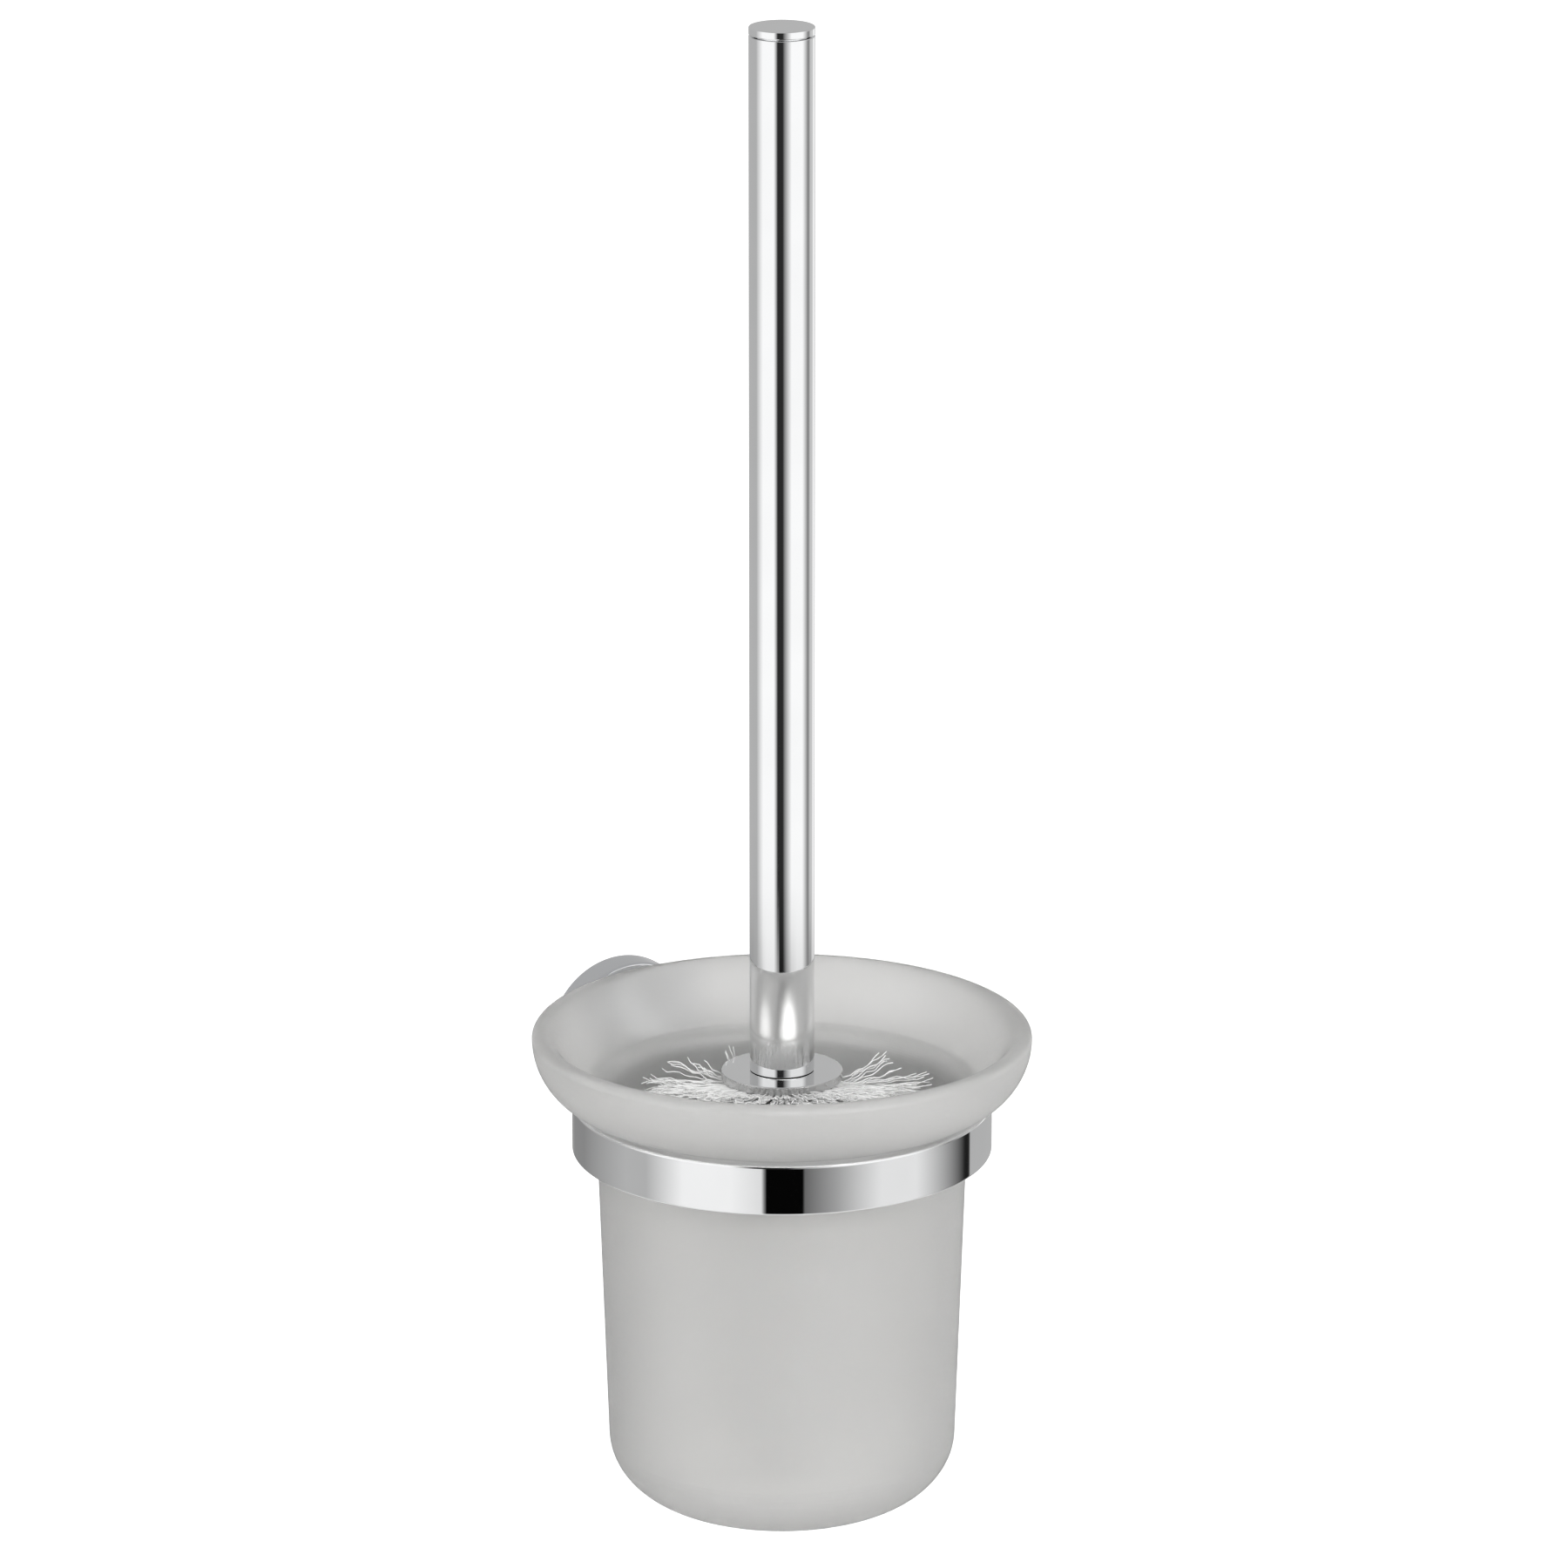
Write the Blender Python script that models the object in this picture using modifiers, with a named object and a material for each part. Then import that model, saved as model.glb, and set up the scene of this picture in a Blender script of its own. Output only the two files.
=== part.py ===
"""Wall-mounted toilet brush holder: chrome ring on a round rosette, frosted glass tumbler, rod-handled brush.

Metres, +Z up. The origin is the centre of the mounting face on the wall, the wall is the plane Y = 0, and
the holder stands out towards -Y. The ring, tumbler and brush share one vertical axis at Y = -AXIS_REACH, and
Z = 0 is the middle of the ring's height.
"""

import math

import bpy
from mathutils import Vector

GAP = 0.0003                    # clearance kept between neighbouring solids
AXIS_REACH = 0.084              # wall to the vertical axis of ring, tumbler and brush
ROUND = 48                      # sides of the large turned pieces
SMALL = 24                      # sides of the small turned pieces
MERGE = 0.000001                # points nearer than this are one point

RING_RADIUS = 0.0519
RING_HEIGHT = 0.0125
RING_WALL = 0.0042
RING_EDGE = 0.0004              # broken edge of the ring
LINER_WALL = 0.0008
LINER_ABOVE = 0.0003            # how far the liner stays below the ring's top
LINER_BELOW = 0.0004

BODY_RADIUS = 0.0426            # the body's straight side, carried down to the base plane
BODY_TAPER = 0.0342             # growth of that radius for each unit of height
GLASS_WALL = 0.0040
GLASS_FLOOR = 0.0065
BASE_DEPTH = 0.0976             # mid-height of the ring to the tumbler's base plane
FOOT_REACH = 0.0200             # foot corner, measured outwards
FOOT_RISE = 0.0170              # foot corner, measured upwards
FLARE_NECK = 0.0470             # radius where the flare leaves the ring's top
FLARE_REACH = 0.0147
FLARE_TOP = 0.0224              # height where the flare turns upright
LIP_ROUND = 0.0022

ROSETTE_RADIUS = 0.0200
ROSETTE_DEPTH = 0.0082
ROSETTE_WALL = 0.0015
ROSETTE_EDGE = 0.0008
BRACKET_RADIUS = 0.0181
BRACKET_DEPTH = 0.0050
BRACKET_EDGE = 0.0006
POCKET_FLOOR = 0.0020           # wall to the floor of the pocket for the arm screw's head
POCKET_SLACK = 0.0009           # room around that head
WALL_SCREW_OFFSET = 0.0105
WALL_SCREW_SHANK = 0.00175
WALL_SCREW_HEAD = 0.0034
WALL_SCREW_SINK = 0.0004        # how far the screws sit below the bracket's front
DIMPLE_REACH = 0.0165           # axis of the bracket to the floor of the set screw's dimple
SET_SCREW_RADIUS = 0.0015
SET_SCREW_DEPTH = 0.0025        # wall to the set screw's axis
SET_SCREW_TIP = 0.0168
SET_SCREW_END = 0.0197
SET_SCREW_HOLE = 0.0170         # where the rosette's hole for it starts, clear of the bracket
SET_SOCKET_ACROSS = 0.0015
SET_SOCKET_FLOOR = 0.0182
ARM_RADIUS = 0.0055
ARM_INTO_RING = 0.0020          # length beyond the ring's face before the ring's curve is cut from it
ARM_SCREW_SHANK = 0.0020
ARM_SCREW_HEAD = 0.0036
ARM_SCREW_HEAD_DEPTH = 0.0024
ARM_THREAD_DEPTH = 0.0100
ARM_SCREW_SPARE = 0.0015        # thread left free beyond the arm screw's end
ARM_SOCKET_FLOOR = 0.0010       # left under the arm screw's socket
RING_SCREW_REACH = 0.0070       # how far the ring's screw goes into the arm
RING_THREAD_DEPTH = 0.0090
HEAD_SINK = 0.0005              # how far the ring's screw sits below its inner face
HEAD_RIM = 0.0003               # straight rim of a countersunk head
SOCKET_DEPTH = 0.0013
SOCKET_ACROSS = 0.0025
OVERRUN = 0.0050                # how far a cutter reaches past the faces it opens

DISC_RADIUS = 0.0150
DISC_TOP = 0.0139
DISC_DEPTH = 0.0023
FINE_EDGE = 0.0002              # broken edge of the disc and the cap
ROD_RADIUS = 0.0080
ROD_BORE = 0.0065
ROD_TOP = 0.2754                # top of the cap
CAP_DEPTH = 0.0019
CAP_SPIGOT_DEPTH = 0.0085
INSERT_LENGTH = 0.0200
STUD_RADIUS = 0.0030
STUD_BELOW_DISC = 0.0170
STUD_ABOVE_DISC = 0.0150

CORE_RADIUS = 0.0105
CORE_BOTTOM = -0.0815
CORE_EDGE = 0.0010
CORE_NOSE = 0.0030
BRISTLE_RADIUS = 0.0345
BRISTLE_ROWS = 8
BRISTLE_ROW_DEPTH = 0.0042
TOP_ROW_HEIGHT = 0.0030         # root height of the top row
BOTTOM_ROW_HEIGHT = -0.0740     # root height of the bottom row
TOP_ROW_RISE = 0.0040           # how far the top row's tips stand above its root
END_TUFT_RADIUS = 0.0307
END_TUFT_DRAFT = 0.0010
END_TUFT_FLAT = 0.0218
END_TUFT_RISE = 0.0042          # height of the end tuft's slope

CENTRE = (0.0, 0.0, 0.0)
UPRIGHT = (0.0, 0.0, 0.0)
OUTWARDS = (math.pi / 2.0, 0.0, 0.0)    # turns a piece's own Z away from the wall


def clear_scene():
    for item in list(bpy.data.objects):
        bpy.data.objects.remove(item, do_unlink=True)


def new_collection(name):
    group = bpy.data.collections.new(name)
    bpy.context.scene.collection.children.link(group)
    return group


def material(name, colour, roughness, metallic, transmission=0.0):
    made = bpy.data.materials.new(name)
    made.use_nodes = True
    made.diffuse_color = (*colour, 1.0)
    shader = made.node_tree.nodes["Principled BSDF"]
    shader.inputs["Base Color"].default_value = (*colour, 1.0)
    shader.inputs["Roughness"].default_value = roughness
    shader.inputs["Metallic"].default_value = metallic
    shader.inputs["Transmission Weight"].default_value = transmission
    return made


def arc(centre, reach, rise, start, end, count):
    """Points of an elliptical arc in the profile plane; angles in degrees from straight outwards."""
    points = []
    for step in range(count + 1):
        turn = math.radians(start + (end - start) * step / count)
        points.append((centre[0] + reach * math.cos(turn), centre[1] + rise * math.sin(turn)))
    return points


def turned(name, profile, group, finish, place=CENTRE, sides=SMALL, closed=False, tilt=UPRIGHT):
    """Turn a profile of (radius, height) points, listed down its outer side, about the local Z axis."""
    mesh = bpy.data.meshes.new(name)
    edges = [(i, i + 1) for i in range(len(profile) - 1)]
    if closed:
        edges.append((len(profile) - 1, 0))
    mesh.from_pydata([(radius, 0.0, height) for radius, height in profile], edges, [])
    piece = bpy.data.objects.new(name, mesh)
    group.objects.link(piece)
    piece.location = place
    piece.rotation_euler = tilt
    turn = piece.modifiers.new("turn", "SCREW")
    turn.angle = 2.0 * math.pi
    turn.steps = sides
    turn.render_steps = sides
    turn.use_merge_vertices = True
    turn.merge_threshold = MERGE
    turn.use_smooth_shade = True
    if finish is None:
        piece.hide_render = True
        piece.display_type = "WIRE"
    else:
        mesh.materials.append(finish)
    return piece


def rod(name, radius, low, high, group, finish, place=CENTRE, sides=SMALL, tilt=UPRIGHT):
    """A plain round bar from height low to height high on its own axis."""
    profile = [(0.0, high), (radius, high), (radius, low), (0.0, low)]
    return turned(name, profile, group, finish, place, sides, tilt=tilt)


def tube_profile(outer, inner, low, high, edge=0.0):
    """Closed profile of a plain tube, with its outer corners broken by edge."""
    if edge == 0.0:
        return [(inner, high), (outer, high), (outer, low), (inner, low)]
    return [(inner, high), (outer - edge, high), (outer, high - edge),
            (outer, low + edge), (outer - edge, low), (inner, low)]


def cut(piece, cutter):
    carve = piece.modifiers.new("cut " + cutter.name, "BOOLEAN")
    carve.operation = "DIFFERENCE"
    carve.solver = "EXACT"
    carve.object = cutter


def hexagon(name, across, low, high, group, place, tilt=UPRIGHT):
    """A hexagonal cutter for a screw's socket."""
    return rod(name, across / math.sqrt(3.0), low, high, group, None, place, sides=6, tilt=tilt)


def countersunk(top, head, shank, low):
    """Profile of a countersunk screw with its flat head at height top and a 45 degree cone to the shank."""
    rim = top - HEAD_RIM
    return [(0.0, top), (head, top), (head, rim), (shank, rim - (head - shank)), (shank, low), (0.0, low)]


def countersink(top, head, shank, low):
    """Profile of the hole for such a screw, wider by the clearance and open at both ends."""
    rim = top - HEAD_RIM - GAP / 2.0
    return [(0.0, top + OVERRUN), (head + GAP, top + OVERRUN), (head + GAP, rim),
            (shank + GAP, rim - (head - shank)), (shank + GAP, low - OVERRUN), (0.0, low - OVERRUN)]


def add_wall_side(parts, cutters, steel, zinc, chrome):
    """Bracket, its two screws, the rosette and its set screw; local Z of each points away from the wall."""
    bracket = turned("wall_bracket",
                     [(0.0, BRACKET_DEPTH), (BRACKET_RADIUS - BRACKET_EDGE, BRACKET_DEPTH),
                      (BRACKET_RADIUS, BRACKET_DEPTH - BRACKET_EDGE), (BRACKET_RADIUS, 0.0), (0.0, 0.0)],
                     parts, zinc, sides=ROUND, tilt=OUTWARDS)
    cut(bracket, rod("bracket_pocket", ARM_SCREW_HEAD + POCKET_SLACK, POCKET_FLOOR, BRACKET_DEPTH + OVERRUN,
                     cutters, None, tilt=OUTWARDS))
    for label, side in (("upper", 1.0), ("lower", -1.0)):
        place = (0.0, 0.0, side * WALL_SCREW_OFFSET)
        top = BRACKET_DEPTH - WALL_SCREW_SINK
        cut(bracket, turned("hole_for_screw_" + label,
                            countersink(top, WALL_SCREW_HEAD, WALL_SCREW_SHANK, 0.0),
                            cutters, None, place, tilt=OUTWARDS))
        screw = turned("wall_screw_" + label, countersunk(top, WALL_SCREW_HEAD, WALL_SCREW_SHANK, GAP),
                       parts, steel, place, tilt=OUTWARDS)
        cut(screw, hexagon("socket_" + label, SOCKET_ACROSS, top - SOCKET_DEPTH, top + OVERRUN,
                           cutters, place, OUTWARDS))

    below = (0.0, -SET_SCREW_DEPTH, 0.0)
    cut(bracket, rod("bracket_dimple", SET_SCREW_RADIUS + GAP, -BRACKET_RADIUS - OVERRUN, -DIMPLE_REACH,
                     cutters, None, below))

    inside = ROSETTE_RADIUS - ROSETTE_WALL
    front = ROSETTE_DEPTH
    profile = [(0.0, front)]
    edge = (ROSETTE_RADIUS - ROSETTE_EDGE, front - ROSETTE_EDGE)
    profile += arc(edge, ROSETTE_EDGE, ROSETTE_EDGE, 90, 0, 3)
    profile += [(ROSETTE_RADIUS, GAP), (inside, GAP)]
    profile += [(inside, front - ROSETTE_WALL), (0.0, front - ROSETTE_WALL)]
    rosette = turned("rosette", profile, parts, chrome, sides=ROUND, tilt=OUTWARDS)
    cut(rosette, rod("rosette_screw_hole", ARM_SCREW_SHANK + GAP, front - ROSETTE_WALL - OVERRUN,
                     front + OVERRUN, cutters, None, tilt=OUTWARDS))
    cut(rosette, rod("rosette_set_hole", SET_SCREW_RADIUS + GAP, -ROSETTE_RADIUS - OVERRUN, -SET_SCREW_HOLE,
                     cutters, None, below))
    set_screw = rod("rosette_set_screw", SET_SCREW_RADIUS, -SET_SCREW_END, -SET_SCREW_TIP,
                    parts, steel, below)
    cut(set_screw, hexagon("socket_set", SET_SOCKET_ACROSS, -SET_SCREW_END - OVERRUN, -SET_SOCKET_FLOOR,
                           cutters, below))


def add_arm(parts, cutters, steel, chrome):
    """The bar between rosette and ring, and the screw at each of its ends."""
    start = ROSETTE_DEPTH + GAP
    ring_face = AXIS_REACH - RING_RADIUS
    arm = rod("arm", ARM_RADIUS, start, ring_face + ARM_INTO_RING, parts, chrome, tilt=OUTWARDS)
    cut(arm, rod("ring_for_arm", RING_RADIUS + GAP, -RING_HEIGHT, RING_HEIGHT, cutters, None,
                 (0.0, -AXIS_REACH, 0.0), sides=2 * ROUND))
    cut(arm, rod("arm_thread_back", ARM_SCREW_SHANK + GAP, start - OVERRUN, start + ARM_THREAD_DEPTH,
                 cutters, None, tilt=OUTWARDS))
    cut(arm, rod("arm_thread_front", ARM_SCREW_SHANK + GAP, ring_face - RING_THREAD_DEPTH,
                 ring_face + OVERRUN, cutters, None, tilt=OUTWARDS))

    seat = ROSETTE_DEPTH - ROSETTE_WALL - GAP
    tip = start + ARM_THREAD_DEPTH - ARM_SCREW_SPARE
    arm_screw = turned("arm_screw",
                       [(0.0, tip), (ARM_SCREW_SHANK, tip), (ARM_SCREW_SHANK, seat),
                        (ARM_SCREW_HEAD, seat), (ARM_SCREW_HEAD, seat - ARM_SCREW_HEAD_DEPTH),
                        (0.0, seat - ARM_SCREW_HEAD_DEPTH)],
                       parts, steel, tilt=OUTWARDS)
    cut(arm_screw, hexagon("socket_arm", SOCKET_ACROSS, seat - ARM_SCREW_HEAD_DEPTH - OVERRUN,
                           seat - ARM_SOCKET_FLOOR, cutters, CENTRE, OUTWARDS))

    head_face = AXIS_REACH - RING_RADIUS + RING_WALL - HEAD_SINK
    ring_screw = turned("ring_screw",
                        countersunk(head_face, ARM_SCREW_HEAD, ARM_SCREW_SHANK, ring_face - RING_SCREW_REACH),
                        parts, steel, tilt=OUTWARDS)
    cut(ring_screw, hexagon("socket_ring", SOCKET_ACROSS, head_face - SOCKET_DEPTH, head_face + OVERRUN,
                            cutters, CENTRE, OUTWARDS))


def add_ring(parts, cutters, chrome, liner_finish):
    place = (0.0, -AXIS_REACH, 0.0)
    half = RING_HEIGHT / 2.0
    bore = RING_RADIUS - RING_WALL
    ring = turned("holder_ring", tube_profile(RING_RADIUS, bore, -half, half, RING_EDGE),
                  parts, chrome, place, ROUND, closed=True)
    cut(ring, turned("hole_for_ring_screw",
                     countersink(AXIS_REACH - bore - HEAD_SINK, ARM_SCREW_HEAD, ARM_SCREW_SHANK,
                                 AXIS_REACH - RING_RADIUS),
                     cutters, None, tilt=OUTWARDS))
    liner = tube_profile(bore - GAP, bore - GAP - LINER_WALL, -half + LINER_BELOW, half - LINER_ABOVE)
    turned("ring_liner", liner, parts, liner_finish, place, ROUND, closed=True)


def glass_profile():
    """Half section of the tumbler, up its inside, over the lip and down its outside to the axis."""
    base = -BASE_DEPTH
    floor = base + GLASS_FLOOR
    flare_low = RING_HEIGHT / 2.0 + GAP

    def side(height):
        return BODY_RADIUS + BODY_TAPER * (height - base)

    inner_reach = FOOT_REACH - GLASS_WALL
    inner_rise = FOOT_RISE - GLASS_WALL
    corner_top = floor + inner_rise
    corner_centre = side(corner_top) - GLASS_WALL - inner_reach
    points = [(0.0, floor)]
    points += arc((corner_centre, corner_top), inner_reach, inner_rise, -90, 0, 6)

    flare_rise = FLARE_TOP - flare_low
    shoulder_centre = flare_low + GLASS_WALL
    inside = side(0.0) - GLASS_WALL
    shoulder = FLARE_NECK - inside
    points += arc((FLARE_NECK, shoulder_centre - shoulder), shoulder, shoulder, 180, 90, 5)
    bowl = []
    for step in range(1, 8):
        turn = math.radians(90.0 * step / 7)
        normal = Vector((math.sin(turn) / FLARE_REACH, -math.cos(turn) / flare_rise)).normalized()
        thickness = GLASS_WALL + (2.0 * LIP_ROUND - GLASS_WALL) * step / 7
        bowl.append((FLARE_NECK + FLARE_REACH * math.sin(turn) - thickness * normal.x,
                     FLARE_TOP - flare_rise * math.cos(turn) - thickness * normal.y))
    points += bowl
    lip_centre = (FLARE_NECK + FLARE_REACH - LIP_ROUND, FLARE_TOP)
    points += arc(lip_centre, LIP_ROUND, LIP_ROUND, 180, 0, 8)[1:]
    points += arc((FLARE_NECK, FLARE_TOP), FLARE_REACH, flare_rise, 0, -90, 8)[1:]

    neck = FLARE_NECK - side(flare_low)
    points += arc((FLARE_NECK, flare_low - neck), neck, neck, 90, 180, 3)[1:]
    foot_top = base + FOOT_RISE
    foot_centre = side(foot_top) - FOOT_REACH
    points += arc((foot_centre, foot_top), FOOT_REACH, FOOT_RISE, 0, -90, 8)
    points.append((0.0, base))
    return points


def add_tumbler(parts, glass):
    turned("glass_tumbler", glass_profile(), parts, glass, (0.0, -AXIS_REACH, 0.0), ROUND)


def add_handle(parts, chrome, brass):
    place = (0.0, -AXIS_REACH, 0.0)
    foot = DISC_TOP + GAP
    seam = ROD_TOP - CAP_DEPTH
    turned("handle_tube", tube_profile(ROD_RADIUS, ROD_BORE, foot, seam - GAP),
           parts, chrome, place, SMALL, closed=True)
    spigot = ROD_BORE - GAP
    turned("handle_cap",
           [(0.0, ROD_TOP), (ROD_RADIUS - FINE_EDGE, ROD_TOP),
            (ROD_RADIUS, ROD_TOP - FINE_EDGE), (ROD_RADIUS, seam),
            (spigot, seam), (spigot, seam - CAP_SPIGOT_DEPTH), (0.0, seam - CAP_SPIGOT_DEPTH)],
           parts, chrome, place)
    turned("handle_insert", tube_profile(spigot, STUD_RADIUS + GAP, foot, foot + INSERT_LENGTH),
           parts, brass, place, SMALL, closed=True)
    disc_low = DISC_TOP - DISC_DEPTH
    turned("splash_disc", tube_profile(DISC_RADIUS, STUD_RADIUS + GAP, disc_low, DISC_TOP, FINE_EDGE),
           parts, chrome, place, ROUND, closed=True)


def add_head(parts, cutters, steel, core_finish, bristle_finish):
    place = (0.0, -AXIS_REACH, 0.0)
    top = DISC_TOP - DISC_DEPTH - GAP
    stud_low = top - STUD_BELOW_DISC
    rod("head_stud", STUD_RADIUS, stud_low, DISC_TOP + STUD_ABOVE_DISC, parts, steel, place)
    core = turned("head_core",
                  [(0.0, top), (CORE_RADIUS - CORE_EDGE, top), (CORE_RADIUS, top - CORE_EDGE),
                   (CORE_RADIUS, CORE_BOTTOM + CORE_NOSE), (CORE_RADIUS - CORE_NOSE, CORE_BOTTOM),
                   (0.0, CORE_BOTTOM)],
                  parts, core_finish, place)
    cut(core, rod("core_thread", STUD_RADIUS + GAP, stud_low - GAP, top + OVERRUN, cutters, None, place))

    root = CORE_RADIUS + GAP
    spacing = (TOP_ROW_HEIGHT - BOTTOM_ROW_HEIGHT) / (BRISTLE_ROWS - 1)
    for row in range(BRISTLE_ROWS):
        height = TOP_ROW_HEIGHT - row * spacing
        rise = TOP_ROW_RISE if row == 0 else 0.0
        half = BRISTLE_ROW_DEPTH / 2.0
        profile = [(root, height + half), (BRISTLE_RADIUS, height + rise + half),
                   (BRISTLE_RADIUS, height + rise - half), (root, height - half)]
        turned("bristle_row_%d" % (row + 1), profile, parts, bristle_finish, place, SMALL, closed=True)
    floor = -BASE_DEPTH + GLASS_FLOOR + GAP
    turned("bristle_end",
           [(0.0, CORE_BOTTOM - GAP), (END_TUFT_RADIUS, CORE_BOTTOM - GAP),
            (END_TUFT_RADIUS - END_TUFT_DRAFT, floor + END_TUFT_RISE), (END_TUFT_FLAT, floor), (0.0, floor)],
           parts, bristle_finish, place)


def main():
    clear_scene()
    parts = new_collection("toilet_brush_holder")
    cutters = new_collection("cutters")
    chrome = material("chrome", (0.80, 0.81, 0.82), 0.05, 1.0)
    steel = material("stainless", (0.62, 0.62, 0.61), 0.30, 1.0)
    zinc = material("zinc_bracket", (0.55, 0.56, 0.57), 0.45, 1.0)
    brass = material("brass_bush", (0.72, 0.58, 0.32), 0.30, 1.0)
    glass = material("frosted_glass", (0.80, 0.80, 0.79), 0.55, 0.0, 0.6)
    liner = material("clear_liner", (0.70, 0.71, 0.72), 0.35, 0.0)
    core = material("white_core", (0.85, 0.85, 0.85), 0.45, 0.0)
    bristle = material("white_bristle", (0.88, 0.88, 0.88), 0.60, 0.0)
    add_wall_side(parts, cutters, steel, zinc, chrome)
    add_arm(parts, cutters, steel, chrome)
    add_ring(parts, cutters, chrome, liner)
    add_tumbler(parts, glass)
    add_handle(parts, chrome, brass)
    add_head(parts, cutters, steel, core, bristle)


main()
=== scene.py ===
"""Looks of the wall-mounted toilet brush holder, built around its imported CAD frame.

Metres, +Z up, in the frame's own coordinates: the wall is the plane Y = 0 and the holder
stands out towards -Y.
"""

import math
import random

import bmesh
import bpy
from mathutils import Matrix, Vector


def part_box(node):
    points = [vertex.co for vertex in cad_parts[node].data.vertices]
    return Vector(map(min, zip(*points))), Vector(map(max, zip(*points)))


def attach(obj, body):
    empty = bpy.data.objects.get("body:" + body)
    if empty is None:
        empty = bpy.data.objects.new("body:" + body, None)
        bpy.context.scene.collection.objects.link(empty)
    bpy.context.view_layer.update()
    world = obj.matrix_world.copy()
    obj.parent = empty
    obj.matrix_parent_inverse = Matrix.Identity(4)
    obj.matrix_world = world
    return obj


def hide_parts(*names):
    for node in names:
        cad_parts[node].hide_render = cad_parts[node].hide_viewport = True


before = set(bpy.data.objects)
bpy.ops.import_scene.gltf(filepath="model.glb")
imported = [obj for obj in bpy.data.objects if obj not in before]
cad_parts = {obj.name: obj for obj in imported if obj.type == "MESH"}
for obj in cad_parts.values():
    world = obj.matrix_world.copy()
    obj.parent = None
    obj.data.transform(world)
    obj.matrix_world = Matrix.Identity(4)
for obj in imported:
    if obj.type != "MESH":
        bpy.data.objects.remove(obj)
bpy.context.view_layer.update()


# Places and sizes read from the frame.

def corners(node):
    low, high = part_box(node)
    return Vector(low), Vector(high)


RING_LOW, RING_HIGH = corners("holder_ring")
AXIS = Vector(((RING_LOW.x + RING_HIGH.x) / 2.0, (RING_LOW.y + RING_HIGH.y) / 2.0, 0.0))
RING_RADIUS = (RING_HIGH.x - RING_LOW.x) / 2.0
LINER_LOW, LINER_HIGH = corners("ring_liner")
LINER_RADIUS = (LINER_HIGH.x - LINER_LOW.x) / 2.0
GLASS_LOW = corners("glass_tumbler")[0]
ROSETTE_LOW, ROSETTE_HIGH = corners("rosette")
ROSETTE_RADIUS = (ROSETTE_HIGH.x - ROSETTE_LOW.x) / 2.0
ARM_LOW, ARM_HIGH = corners("arm")
ARM_RADIUS = (ARM_HIGH.z - ARM_LOW.z) / 2.0
TUBE_LOW, TUBE_HIGH = corners("handle_tube")
ROD_RADIUS = (TUBE_HIGH.x - TUBE_LOW.x) / 2.0
CAP_LOW, CAP_HIGH = corners("handle_cap")
DISC_LOW, DISC_HIGH = corners("splash_disc")
DISC_RADIUS = (DISC_HIGH.x - DISC_LOW.x) / 2.0
CORE_LOW, CORE_HIGH = corners("head_core")
CORE_RADIUS = (CORE_HIGH.x - CORE_LOW.x) / 2.0
ROWS = sorted(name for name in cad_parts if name.startswith("bristle_row_"))
END_LOW, END_HIGH = corners("bristle_end")

GAP = 0.0003                    # clearance the frame keeps between neighbours
SIDES = 240                     # facets round the large turned pieces
SMALL_SIDES = 96                # facets round the small ones
SHARP = math.radians(28.0)      # an edge sharper than this stays an edge
BEND = math.radians(3.0)        # a turn of the profile that gets braced
BRACE = 0.00015                 # how far from a bend the bracing point sits
MERGE = 0.000002                # points closer than this become one after a cut

# The tumbler's section.
GLASS_WALL = 0.0040
GLASS_FLOOR = 0.0065
BODY_RADIUS = 0.0426            # outside, at the foot
BODY_TAPER = 0.0342             # how much wider the body gets with height
FOOT_REACH = 0.0200             # the foot's quarter ellipse, inwards and upwards
FOOT_RISE = 0.0170
FLARE_NECK = 0.0470             # radius where the bowl starts to flare
FLARE_REACH = 0.0147
FLARE_TOP = 0.0224
LIP_ROUND = 0.0022
PUNT_RISE = 0.0012              # how far the base is pushed up at its middle
REST_OUTER = 0.0015             # flat ring that the base rests on, measured in from the foot's curve
REST_INNER = 0.0030
REST_LIFT = 0.0002

# The holder.
RING_WALL = 0.0042
LINER_WALL = 0.0008
ROSETTE_WALL = 0.0015
SET_SCREW_DEPTH = 0.0025        # how far the set screw's axis stands out from the wall
SET_HOLE_RADIUS = 0.0018
SET_HOLE_TOP = -0.0170
SET_HOLE_END = -0.0250
ARM_BORE = 0.0023
ARM_BORE_DEPTH = 0.0100
ARM_DRILL_TIP = 0.0010
FRONT_BORE_DEPTH = 0.0085
FRONT_DRILL_TIP = 0.0005
SCREW_HEAD_RADIUS = 0.0039      # countersink of the ring's screw
SCREW_SEAT = 0.0005
SINK_START = 0.0004             # the countersink's cone, measured back from the seat
SINK_END = 0.0020
CUT_OVER = 0.0100               # how far a cutter runs past what it cuts

# The handle.
ROD_BORE = 0.0065
SEAT = 0.00015                  # how far the tube comes down towards the disc
FOOT_EDGE = 0.00012             # rounding of the tube's lower end
CAP_SEAM = 0.0019               # cap's height above its seam
DISC_BORE = 0.0033
ROD_SHADE_TOP = 0.0600               # painted shade: the rod's colour is darkened below this height above the disc
ROD_SHADE_FULL = 0.0050              # and most of all below this one
# Painted shade at the rod's foot: how much grey is blended into its chrome colour, and that grey.
ROD_SHADE_SHARE = 0.4
ROD_SHADE_GREY = 0.50
# painted shade: grey that the disc edge's colour is blended to, for the shaded bristles it mirrors
DISC_EDGE_SHADE_GREY = 0.60
DISC_EDGE_SATIN = 0.25
STUD_BORE_DEPTH = 0.0173

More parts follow.
